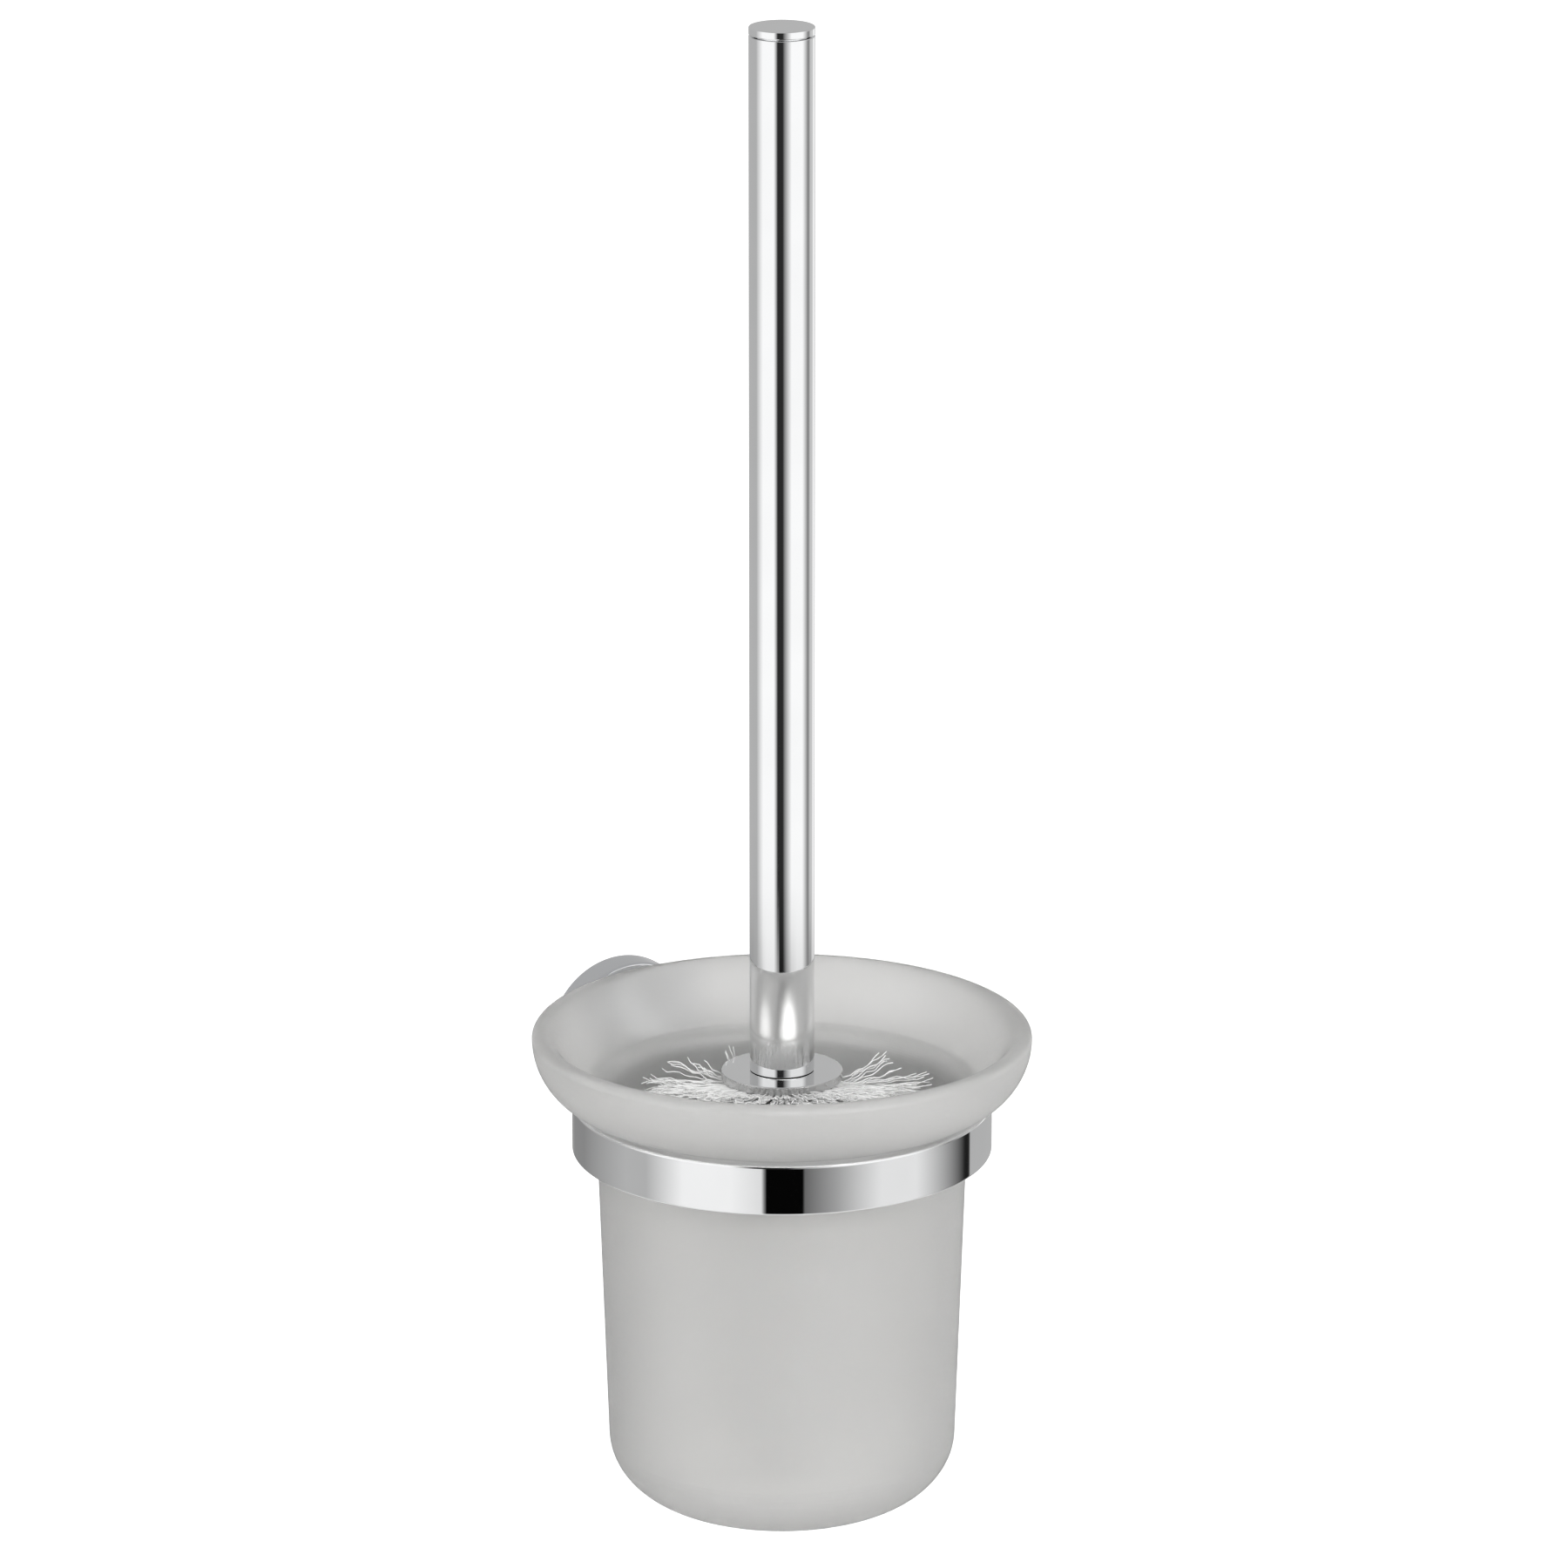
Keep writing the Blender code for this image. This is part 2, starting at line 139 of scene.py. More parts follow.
# Screws and the knurled insert.
SCREW_SIDES = 48
SCREW_PITCH = 0.0007
SET_PITCH = 0.0005
STUD_PITCH = 0.0010
THREAD_ROWS = 6                 # rows of points to one turn of thread
THREAD_DEPTH = 0.35             # depth of a thread, in pitches
THREAD_END = 0.6                # chamfer at the end of a thread, in pitches
WALL_SHANK = 0.00175
ARM_SHANK = 0.0020
ARM_HEAD_DEPTH = 0.0024
ARM_THREAD_GAP = 0.0004         # plain neck under the arm screw's head, and the chamfer at its end
ARM_SOCKET_LEFT = 0.0010        # metal left between the arm screw's socket and the seat of its head
HEAD_RIM = 0.0003
SOCKET_ACROSS = 0.0025
SOCKET_DEPTH = 0.0013
SOCKET_CONE = 0.3               # depth of the cone in a socket's floor, in socket radii
SET_SOCKET_ACROSS = 0.0015
SET_SOCKET_DEPTH = 0.0015
SET_SOCKET_OVER = 0.0010
SET_EDGE = 0.0002
KNURLS = 48                     # crossing grooves each way round the insert
KNURL_STEP = 0.00045            # climb for one radian of a groove's wave
KNURL_DEPTH = 0.00018
KNURL_ROWS = 60

# The brush head.
TUFTS = 18                      # tufts round one row
TUFT_FILAMENTS = 20
TUFT_RADIUS = 0.0011
TUFT_SPREAD = 0.045             # how far a filament strays round its row, in radians
TIP_SPREAD = 2.2                # how much taller a side tuft is at its tips than at its roots
TIP_SCATTER = 0.0006
TIP_UNEVEN = 0.0007
FILAMENT = 0.00015              # radius of a filament at its root
FILAMENT_TAPER = 0.7            # radius of its tip, as a share of the root's
ROOT_DEPTH = 0.0004             # how deep filaments start inside the core
CRIMP = 0.0003                  # size of the wave along a filament
CRIMP_TURNS = (2.2, 3.6)
DRIFT = 0.05                    # sideways drift of a filament's tip, in radians
END_RINGS = ((0.0, 1), (0.0035, 6), (0.0070, 11))    # radius and number of the tufts on the core's end
END_EXTRA = 14                  # filaments more in an end tuft than in a side one
END_SPLAY = (1.4, 3.2)          # how far a filament spreads, as a multiple of its foot's place
END_SCATTER = 0.0025
END_GAP = 0.0003                # left between the filaments and the tumbler's floor
END_REACH = 0.68                # how far the end tufts spread, as a share of their node's radius

# The top row, splayed into a fan.
FACING = math.radians(240.0)    # heading, about the axis, that the fan's tall side faces
FAN_LAYERS = 3
FAN_FILAMENTS = 42
FAN_FILAMENT = 0.00020
FAN_SPREAD = 0.09
FAN_START = 0.0012              # how far below the core's top the uppermost layer starts
FAN_LAYER_STEP = 0.0024
FAN_TIP_STEP = 0.0030
FAN_RAGGED = 0.0022
FAN_REACH = (0.0260, 0.0345)
FAN_CRIMP = 0.0005
# Degrees away from the fan's front, and the height of its top there.
FAN_TOPS = ((0.0, 0.0160), (45.0, 0.0150), (75.0, 0.0115), (95.0, 0.0075), (115.0, 0.0010),
            (180.0, -0.0030))
# Long strays: heading from the fan's front and spread in degrees, lowest and highest tip,
# nearest and farthest reach, count.
FAN_STRAYS = ((-84.0, 20.0, 0.0085, 0.0125, 0.0300, 0.0350, 26),
              (-98.0, 12.0, 0.0120, 0.0155, 0.0190, 0.0310, 9),
              (84.0, 10.0, 0.0080, 0.0130, 0.0330, 0.0375, 18),
              (86.0, 12.0, 0.0140, 0.0180, 0.0230, 0.0300, 9))
STRAY_FILAMENT = 0.00019
STRAY_START = (0.0010, 0.0030)
STRAY_CRIMP = 0.0006
STRAY_LIFT = 1.5                # how late along its length a stray bends up
CURLS = 6                       # short filaments that curl up past the disc's edge
CURL_HEADINGS = (-140.0, -112.0)
CURL_START = 0.0020
CURL_RISE = (0.0008, 0.0022)
CURL_REACH = (0.0010, 0.0030)
CURL_CRIMP = 0.0001
CURL_LIFT = 3.2

# The camera, placed from the axis of the rod.
CAMERA_REACH = 1.954
CAMERA_TURN = math.radians(-30.0)
CAMERA_HEIGHT = 0.668
CAMERA_LENS = 191.5
SENSOR = 36.0
AIM_HEIGHT = 0.0872
AIM_ASIDE = 0.0005               # the aim passes this far to the right of the axis


# ---- meshes ----

def placed(y=0.0, tilt=0.0):
    return Matrix.Translation((AXIS.x, y, 0.0)) @ Matrix.Rotation(tilt, 4, "X")


UPRIGHT = placed(AXIS.y)
OUTWARDS = placed(0.0, math.pi / 2.0)      # local +Z points away from the wall


def arc(centre, reach, rise, start, end, count):
    """Points of an elliptical arc; angles in degrees from straight outwards."""
    points = []
    for step in range(count + 1):
        turn = math.radians(start + (end - start) * step / count)
        points.append((centre[0] + reach * math.cos(turn), centre[1] + rise * math.sin(turn)))
    return points


def rounded(corner, radius, start, end, count=6):
    """A rounded profile corner: corner is the centre of the rounding."""
    return arc(corner, radius, radius, start, end, count)


def new_piece(name, points, faces, finish, sharp=SHARP):
    mesh = bpy.data.meshes.new(name)
    mesh.from_pydata(points, [], faces)
    mesh.materials.append(finish)
    mesh.shade_smooth()
    mesh.set_sharp_from_angle(angle=sharp)
    piece = bpy.data.objects.new(name, mesh)
    bpy.context.scene.collection.objects.link(piece)
    return piece


def braced(profile, closed):
    """Add a point close to each end of a long straight run that meets a bend, to keep its shading flat."""
    count = len(profile)
    spots = [Vector(point) for point in profile]
    runs = count if closed else count - 1

    def bends(first, middle, last):
        if not closed and (first < 0 or last >= count):
            return False
        ahead = spots[last % count] - spots[middle]
        behind = spots[middle] - spots[first % count]
        return ahead.angle(behind, 0.0) > BEND

    points = []
    for index in range(runs):
        after = (index + 1) % count
        points.append(profile[index])
        run = spots[after] - spots[index]
        if run.length < 4.0 * BRACE:
            continue
        step = run.normalized() * BRACE
        if bends(index - 1, index, after):
            points.append(tuple(spots[index] + step))
        if bends(index, after, index + 2):
            points.append(tuple(spots[after] - step))
    if not closed:
        points.append(profile[-1])
    return points


def lathe(name, profile, finish, matrix=UPRIGHT, sides=SIDES, closed=False, shape=None):
    """Turn (radius, height) points, listed down the outer side; shape(turn, radius, height) may move each."""
    profile = braced(profile, closed)
    points = []
    rings = []
    for radius, height in profile:
        if radius <= 0.0:
            rings.append([len(points)] * sides)
            points.append(matrix @ Vector((0.0, 0.0, height)))
            continue
        ring = []
        for step in range(sides):
            turn = 2.0 * math.pi * step / sides
            r, h = shape(turn, radius, height) if shape else (radius, height)
            ring.append(len(points))
            points.append(matrix @ Vector((r * math.cos(turn), r * math.sin(turn), h)))
        rings.append(ring)
    faces = []
    pairs = list(zip(rings, rings[1:]))
    if closed:
        pairs.append((rings[-1], rings[0]))
    for upper, lower in pairs:
        for step in range(sides):
            after = (step + 1) % sides
            loop = (upper[step], lower[step], lower[after], upper[after])
            faces.append(tuple(dict.fromkeys(loop)))
    return new_piece(name, points, faces, finish)


def carve(piece, cutter):
    """Cut the cutter out of the piece and keep the result as a plain mesh."""
    carving = piece.modifiers.new("carve", "BOOLEAN")
    carving.operation = "DIFFERENCE"
    carving.solver = "EXACT"
    carving.object = cutter
    view = bpy.context.evaluated_depsgraph_get()
    mesh = bpy.data.meshes.new_from_object(piece.evaluated_get(view))
    shape = bmesh.new()
    shape.from_mesh(mesh)
    bmesh.ops.remove_doubles(shape, verts=shape.verts, dist=MERGE)
    bmesh.ops.dissolve_degenerate(shape, edges=shape.edges, dist=MERGE)
    shape.to_mesh(mesh)
    shape.free()
    piece.modifiers.clear()
    piece.data = mesh
    mesh.shade_smooth()
    mesh.set_sharp_from_angle(angle=SHARP)
    bpy.data.objects.remove(cutter, do_unlink=True)


# ---- materials ----

def principled(name, colour, roughness, metallic=0.0):
    made = bpy.data.materials.new(name)
    made.use_nodes = True
    shader = made.node_tree.nodes["Principled BSDF"]
    shader.inputs["Base Color"].default_value = (*colour, 1.0)
    shader.inputs["Roughness"].default_value = roughness
    shader.inputs["Metallic"].default_value = metallic
    return made, made.node_tree, shader


def noise(tree, scale, detail=3.0, stretch=(1.0, 1.0, 1.0)):
    """Noise fixed to the piece; stretch squeezes it along an axis."""
    where = tree.nodes.new("ShaderNodeTexCoord")
    mapping = tree.nodes.new("ShaderNodeMapping")
    mapping.inputs["Scale"].default_value = stretch
    grain = tree.nodes.new("ShaderNodeTexNoise")
    grain.inputs["Scale"].default_value = scale
    grain.inputs["Detail"].default_value = detail
    tree.links.new(where.outputs["Object"], mapping.inputs["Vector"])
    tree.links.new(mapping.outputs["Vector"], grain.inputs["Vector"])
    return grain.outputs["Fac"]


def spread(tree, source, low, high):
    """Map noise, which keeps between about 0.3 and 0.7, to low..high."""
    scale = tree.nodes.new("ShaderNodeMapRange")
    scale.inputs["From Min"].default_value = 0.3
    scale.inputs["From Max"].default_value = 0.7
    scale.inputs["To Min"].default_value = low
    scale.inputs["To Max"].default_value = high
    tree.links.new(source, scale.inputs["Value"])
    return scale.outputs["Result"]


def tint(tree, source, dark, light):
    """Blend two colours by a noise."""
    blend = tree.nodes.new("ShaderNodeMix")
    blend.data_type = "RGBA"
    blend.inputs["A"].default_value = (*dark, 1.0)
    blend.inputs["B"].default_value = (*light, 1.0)
    tree.links.new(spread(tree, source, 0.0, 1.0), blend.inputs["Factor"])
    return blend.outputs["Result"]


def bump(tree, source, strength, distance):
    relief = tree.nodes.new("ShaderNodeBump")
    relief.inputs["Strength"].default_value = strength
    relief.inputs["Distance"].default_value = distance
    tree.links.new(source, relief.inputs["Height"])
    return relief.outputs["Normal"]


def chrome_finish(name="chrome", dark=(0.925, 0.93, 0.935), light=(0.955, 0.96, 0.965)):
    made, tree, shader = principled(name, light, 0.02, 1.0)
    tree.links.new(tint(tree, noise(tree, 60.0, 2.0), dark, light), shader.inputs["Base Color"])
    tree.links.new(spread(tree, noise(tree, 400.0, 4.0), 0.012, 0.035), shader.inputs["Roughness"])
    tree.links.new(bump(tree, noise(tree, 120.0, 1.0), 0.01, 0.0001), shader.inputs["Normal"])
    return made


def rod_finish():
    """Chrome, its colour blended towards grey near its foot: painted shade that dims what it mirrors there.
    """
    made = chrome_finish("rod")
    tree = made.node_tree
    shader = tree.nodes["Principled BSDF"]
    where = tree.nodes.new("ShaderNodeTexCoord")
    split = tree.nodes.new("ShaderNodeSeparateXYZ")
    tree.links.new(where.outputs["Object"], split.inputs["Vector"])
    # painted shade mask: full near the rod's foot, none higher up
    rod_shade = rising(tree, split.outputs["Z"], DISC_HIGH.z + ROD_SHADE_TOP, DISC_HIGH.z + ROD_SHADE_FULL)
    share = tree.nodes.new("ShaderNodeMath")
    share.operation = "MULTIPLY"
    share.inputs[1].default_value = ROD_SHADE_SHARE
    tree.links.new(rod_shade, share.inputs[0])
    chrome_colour = shader.inputs["Base Color"].links[0].from_socket
    # painted shade: grey blended into the chrome colour
    tree.links.new(mixed(tree, share.outputs["Value"], chrome_colour, ROD_SHADE_GREY), shader.inputs["Base Color"])
    return made


def disc_finish():
    """Chrome whose turned edge is left satin, its colour darkened with painted shade for the shaded bristles
    it mirrors.
    """
    made = chrome_finish("disc")
    tree = made.node_tree
    shader = tree.nodes["Principled BSDF"]
    where = tree.nodes.new("ShaderNodeTexCoord")
    offset = tree.nodes.new("ShaderNodeVectorMath")
    offset.operation = "SUBTRACT"
    offset.inputs[1].default_value = AXIS
    level = tree.nodes.new("ShaderNodeVectorMath")
    level.operation = "MULTIPLY"
    level.inputs[1].default_value = (1.0, 1.0, 0.0)
    reach = tree.nodes.new("ShaderNodeVectorMath")
    reach.operation = "LENGTH"
    tree.links.new(where.outputs["Object"], offset.inputs[0])
    tree.links.new(offset.outputs["Vector"], level.inputs[0])
    tree.links.new(level.outputs["Vector"], reach.inputs[0])
    # painted shade mask: the disc's outer edge, whose chrome colour turns grey; its satin roughness is real
    edge = rising(tree, reach.outputs["Value"], DISC_RADIUS - 0.0001, DISC_RADIUS - 0.00005)
    top = shader.inputs["Base Color"].links[0].from_socket
    smooth = shader.inputs["Roughness"].links[0].from_socket
    tree.links.new(mixed(tree, edge, top, DISC_EDGE_SHADE_GREY), shader.inputs["Base Color"])
    satin = tree.nodes.new("ShaderNodeMath")
    satin.operation = "MULTIPLY_ADD"
    satin.inputs[1].default_value = DISC_EDGE_SATIN
    tree.links.new(edge, satin.inputs[0])
    tree.links.new(smooth, satin.inputs[2])
    tree.links.new(satin.outputs["Value"], shader.inputs["Roughness"])
    return made


def glass_finish():
    made, tree, shader = principled("frosted_glass", (0.80, 0.80, 0.79), 0.5)
    cloud = noise(tree, 45.0, 3.0)
    tree.links.new(tint(tree, cloud, (0.880, 0.876, 0.862), (0.900, 0.897, 0.887)),
                   shader.inputs["Base Color"])
    tree.links.new(spread(tree, noise(tree, 900.0, 4.0), 0.38, 0.46), shader.inputs["Roughness"])
    tree.links.new(bump(tree, noise(tree, 5000.0, 3.0), 0.12, 0.00005), shader.inputs["Normal"])
    shader.inputs["Transmission Weight"].default_value = 0.82
    shader.inputs["IOR"].default_value = 1.5
    shader.inputs["Subsurface Weight"].default_value = 0.5
    shader.inputs["Subsurface Radius"].default_value = (0.008, 0.008, 0.008)
    shader.inputs["Subsurface Scale"].default_value = 1.0
    return made


def metal_finish(name, dark, light, smooth, rough, stretch=(1.0, 1.0, 1.0)):
    """Bare metal with fine turning or casting marks."""
    made, tree, shader = principled(name, light, rough, 1.0)
    tree.links.new(tint(tree, noise(tree, 300.0, 3.0, stretch), dark, light), shader.inputs["Base Color"])
    tree.links.new(spread(tree, noise(tree, 900.0, 4.0, stretch), smooth, rough), shader.inputs["Roughness"])
    tree.links.new(bump(tree, noise(tree, 1500.0, 2.0, stretch), 0.15, 0.00004), shader.inputs["Normal"])
    return made


def liner_finish():
    made, tree, shader = principled("liner", (0.60, 0.61, 0.62), 0.3)
    tree.links.new(tint(tree, noise(tree, 80.0), (0.57, 0.58, 0.59), (0.63, 0.64, 0.65)),
                   shader.inputs["Base Color"])
    tree.links.new(spread(tree, noise(tree, 700.0), 0.22, 0.36), shader.inputs["Roughness"])
    return made


def core_finish():
    made, tree, shader = principled("core", (0.56, 0.56, 0.56), 0.45)
    tree.links.new(tint(tree, noise(tree, 90.0), (0.53, 0.53, 0.53), (0.59, 0.59, 0.59)),
                   shader.inputs["Base Color"])
    tree.links.new(spread(tree, noise(tree, 1200.0, 4.0), 0.36, 0.52), shader.inputs["Roughness"])
    tree.links.new(bump(tree, noise(tree, 2500.0), 0.1, 0.00005), shader.inputs["Normal"])
    shader.inputs["Subsurface Weight"].default_value = 0.15
    shader.inputs["Subsurface Scale"].default_value = 0.002
    return made


def bristle_finish():
    made, tree, shader = principled("bristle", (0.90, 0.90, 0.90), 0.5)
    tree.links.new(tint(tree, noise(tree, 220.0), (0.90, 0.90, 0.895), (0.94, 0.94, 0.935)),
                   shader.inputs["Base Color"])
    tree.links.new(spread(tree, noise(tree, 900.0), 0.42, 0.58), shader.inputs["Roughness"])
    shader.inputs["Specular IOR Level"].default_value = 0.3
    return made


def floor_finish():
    made, tree, shader = principled("floor", (0.97, 0.97, 0.97), 0.9)
    tree.links.new(tint(tree, noise(tree, 2.0), (0.965, 0.965, 0.965), (0.975, 0.975, 0.975)),
                   shader.inputs["Base Color"])
    shader.inputs["Emission Color"].default_value = (1.0, 1.0, 1.0, 1.0)
    shader.inputs["Emission Strength"].default_value = 0.8
    return made


# ---- holder ----

def add_rosette(chrome):
    """Round shell with a flat face, over the bracket, with its set screw's hole underneath."""
    front = -ROSETTE_LOW.y
    back = -ROSETTE_HIGH.y
    edge = 0.0008
    back_edge = 0.0002
    inner_edge = 0.0006
    inner = ROSETTE_RADIUS - ROSETTE_WALL
    profile = [(ARM_BORE, front - ROSETTE_WALL), (ARM_BORE, front)]
    profile += rounded((ROSETTE_RADIUS - edge, front - edge), edge, 90, 0, 8)
    profile += [(ROSETTE_RADIUS, back + back_edge), (ROSETTE_RADIUS - back_edge, back), (inner, back)]
    profile += rounded((inner - inner_edge, front - ROSETTE_WALL - inner_edge), inner_edge, 0, 90, 4)
    rosette = lathe("rosette_shell", profile, chrome, OUTWARDS, closed=True)
    hole = [(0.0, SET_HOLE_TOP), (SET_HOLE_RADIUS, SET_HOLE_TOP),
            (SET_HOLE_RADIUS, SET_HOLE_END), (0.0, SET_HOLE_END)]
    carve(rosette, lathe("set_hole", hole, chrome, placed(-SET_SCREW_DEPTH), sides=48))
    return rosette


def add_arm(chrome):
    """Round bar from the rosette to the ring, its front end hollowed to the ring's curve."""
    start = -ARM_HIGH.y
    end = -ARM_LOW.y
    reach = RING_RADIUS + GAP
    contact = -AXIS.y - reach
    edge = 0.0003
    slack = 0.0001

    def saddle(turn, radius, height):
        if height < contact - slack:
            return radius, height
        side = radius * math.cos(turn)
        return radius, -AXIS.y - math.sqrt(reach * reach - side * side) + (height - contact)

    profile = [(0.0, contact - FRONT_BORE_DEPTH - FRONT_DRILL_TIP), (ARM_BORE, contact - FRONT_BORE_DEPTH),
               (ARM_BORE, contact), (ARM_RADIUS - edge, contact), (ARM_RADIUS, contact - edge)]
    profile += rounded((ARM_RADIUS - edge, start + edge), edge, 0, -90, 4)
    profile += [(ARM_BORE, start), (ARM_BORE, start + ARM_BORE_DEPTH),
                (0.0, start + ARM_BORE_DEPTH + ARM_DRILL_TIP)]
    return lathe("arm_bar", profile, chrome, OUTWARDS, SMALL_SIDES, shape=saddle)


def add_ring(chrome):
    """Flat band with softly broken edges and a countersunk hole for the arm's screw."""
    half = (RING_HIGH.z - RING_LOW.z) / 2.0
    inner = RING_RADIUS - RING_WALL
    edge = 0.0005
    fine = 0.0003
    profile = rounded((inner + fine, half - fine), fine, 180, 90, 4)
    profile += rounded((RING_RADIUS - edge, half - edge), edge, 90, 0, 8)
    profile += rounded((RING_RADIUS - edge, -half + edge), edge, 0, -90, 8)
    profile += rounded((inner + fine, -half + fine), fine, -90, -180, 4)
    ring = lathe("ring_band", profile, chrome, sides=320, closed=True)
    seat = -AXIS.y - inner - SCREW_SEAT
    hole = [(0.0, seat + CUT_OVER), (SCREW_HEAD_RADIUS, seat + CUT_OVER),
            (SCREW_HEAD_RADIUS, seat - SINK_START), (ARM_BORE, seat - SINK_END),
            (ARM_BORE, seat - CUT_OVER), (0.0, seat - CUT_OVER)]
    carve(ring, lathe("ring_hole", hole, chrome, OUTWARDS, sides=64))
    return ring


def add_liner(finish):
    inner = LINER_RADIUS - LINER_WALL
    edge = 0.0002
    profile = rounded((inner + edge, LINER_HIGH.z - edge), edge, 180, 90, 3)
    profile += rounded((LINER_RADIUS - edge, LINER_HIGH.z - edge), edge, 90, 0, 3)
    profile += rounded((LINER_RADIUS - edge, LINER_LOW.z + edge), edge, 0, -90, 3)
    profile += rounded((inner + edge, LINER_LOW.z + edge), edge, -90, -180, 3)
    return lathe("liner_band", profile, finish, closed=True)


# ---- screws and other hidden hardware ----

def thread(radius, low, high, pitch):
    """Shape for lathe: cuts a screw thread into the surface of the given radius between two heights."""
    depth = pitch * THREAD_DEPTH

    def cut(turn, r, height):
        if abs(r - radius) > MERGE or not low <= height <= high:
            return r, height
        share = (height / pitch - turn / (2.0 * math.pi)) % 1.0
        fade = min(1.0, (height - low) / pitch, (high - height) / pitch)
        return r - depth * fade * (1.0 - abs(2.0 * share - 1.0)), height

    return cut


def threaded_rows(radius, top, low, pitch):
    """Profile of a threaded shank, from top down to its chamfered end."""
    chamfer = pitch * THREAD_END
    count = math.ceil((top - low - chamfer) / pitch * THREAD_ROWS)
    rows = [(radius, top + (low + chamfer - top) * step / count) for step in range(count + 1)]
    return rows + [(radius - chamfer, low), (0.0, low)]


def socketed(piece, matrix, across, floor, mouth):
    """Cut a hexagonal socket from mouth to floor, with a shallow cone at its bottom as a drill leaves."""
    radius = across / math.sqrt(3.0)
    cone = radius * SOCKET_CONE
    deeper = floor + (cone if floor < mouth else -cone)
    profile = [(0.0, mouth), (radius, mouth), (radius, deeper), (0.0, floor)]
    if mouth < floor:
        profile.reverse()
    carve(piece, lathe("socket", profile, piece.data.materials[0], matrix, sides=6))


def add_countersunk(name, node, finish, radius, pitch):
    """Countersunk screw standing out from the wall, its socket at the front."""
    low, high = corners(node)
    top = -low.y
    end = -high.y
    head = (high.x - low.x) / 2.0
    rim = top - HEAD_RIM
    neck = rim - (head - radius)
    start = neck - pitch * 0.5
    edge = 0.00008
    matrix = Matrix.Translation(((low.x + high.x) / 2.0, 0.0, (low.z + high.z) / 2.0))
    matrix = matrix @ Matrix.Rotation(math.pi / 2.0, 4, "X")
    profile = [(0.0, top), (head - edge, top), (head, top - edge), (head, rim), (radius, neck)]
    profile += threaded_rows(radius, start, end, pitch)
    screw = lathe(name, profile, finish, matrix, SCREW_SIDES, shape=thread(radius, end, start, pitch))
    socketed(screw, matrix, SOCKET_ACROSS, top - SOCKET_DEPTH, top + SOCKET_DEPTH)
    return screw


def add_arm_screw(finish):
    """Cap screw that holds the rosette and the arm to the bracket, its head towards the wall."""
    low, high = corners("arm_screw")
    end = -low.y
    back = -high.y
    head = (high.x - low.x) / 2.0
    seat = back + ARM_HEAD_DEPTH
    start = seat + ARM_THREAD_GAP
    edge = 0.0001
    profile = [(0.0, end), (ARM_SHANK - ARM_THREAD_GAP, end)]
    rows = threaded_rows(ARM_SHANK, start, end, -SCREW_PITCH)[:-2]
    profile += list(reversed(rows))
    profile += [(ARM_SHANK, seat), (head - edge, seat), (head, seat - edge), (head, back + edge),
                (head - edge, back), (0.0, back)]
    screw = lathe("arm_bolt", profile, finish, OUTWARDS, SCREW_SIDES,
                  shape=thread(ARM_SHANK, start, end, SCREW_PITCH))
    socketed(screw, OUTWARDS, SOCKET_ACROSS, seat - ARM_SOCKET_LEFT, back - SOCKET_DEPTH)
    return screw


def add_set_screw(finish):
    """Headless screw under the rosette, its socket facing down."""
    low, high = corners("rosette_set_screw")
    radius = (high.x - low.x) / 2.0
    start = high.z - SET_EDGE
    matrix = Matrix.Translation(((low.x + high.x) / 2.0, (low.y + high.y) / 2.0, 0.0))
    profile = [(0.0, high.z), (radius - SET_EDGE, high.z)]
    profile += threaded_rows(radius, start, low.z, SET_PITCH)
    screw = lathe("set_screw", profile, finish, matrix, SCREW_SIDES,
                  shape=thread(radius, low.z, start, SET_PITCH))
    socketed(screw, matrix, SET_SOCKET_ACROSS, low.z + SET_SOCKET_DEPTH, low.z - SET_SOCKET_OVER)
    return screw


def add_stud(finish):
    """Threaded stud that joins the head to the handle."""
    low, high = corners("head_stud")
    radius = (high.x - low.x) / 2.0
    chamfer = STUD_PITCH * THREAD_END
    profile = [(0.0, high.z), (radius - chamfer, high.z)]
    profile += threaded_rows(radius, high.z - chamfer, low.z, STUD_PITCH)
    return lathe("head_stud_bar", profile, finish, UPRIGHT, SMALL_SIDES,
                 shape=thread(radius, low.z, high.z - chamfer, STUD_PITCH))


def add_insert(finish):
    """Turned insert in the foot of the tube, knurled where it grips."""
    low, high = corners("handle_insert")
    radius = (high.x - low.x) / 2.0
    bore = DISC_BORE
    edge = 0.0003

    def knurl(turn, r, height):
        if abs(r - radius) > MERGE:
            return r, height
        climb = (height - low.z) / KNURL_STEP
        wave = math.sin(KNURLS * turn + climb) * math.sin(KNURLS * turn - climb)
        return r - KNURL_DEPTH * (0.5 - 0.5 * wave), height

    profile = [(bore + edge, high.z), (radius - edge, high.z)]
    for step in range(KNURL_ROWS + 1):
        profile.append((radius, high.z - edge + (low.z + 2.0 * edge - high.z) * step / KNURL_ROWS))
    profile += [(radius - edge, low.z), (bore + edge, low.z), (bore, low.z + edge), (bore, high.z - edge)]
    return lathe("tube_insert", profile, finish, UPRIGHT, SIDES, closed=True, shape=knurl)


# ---- tumbler ----

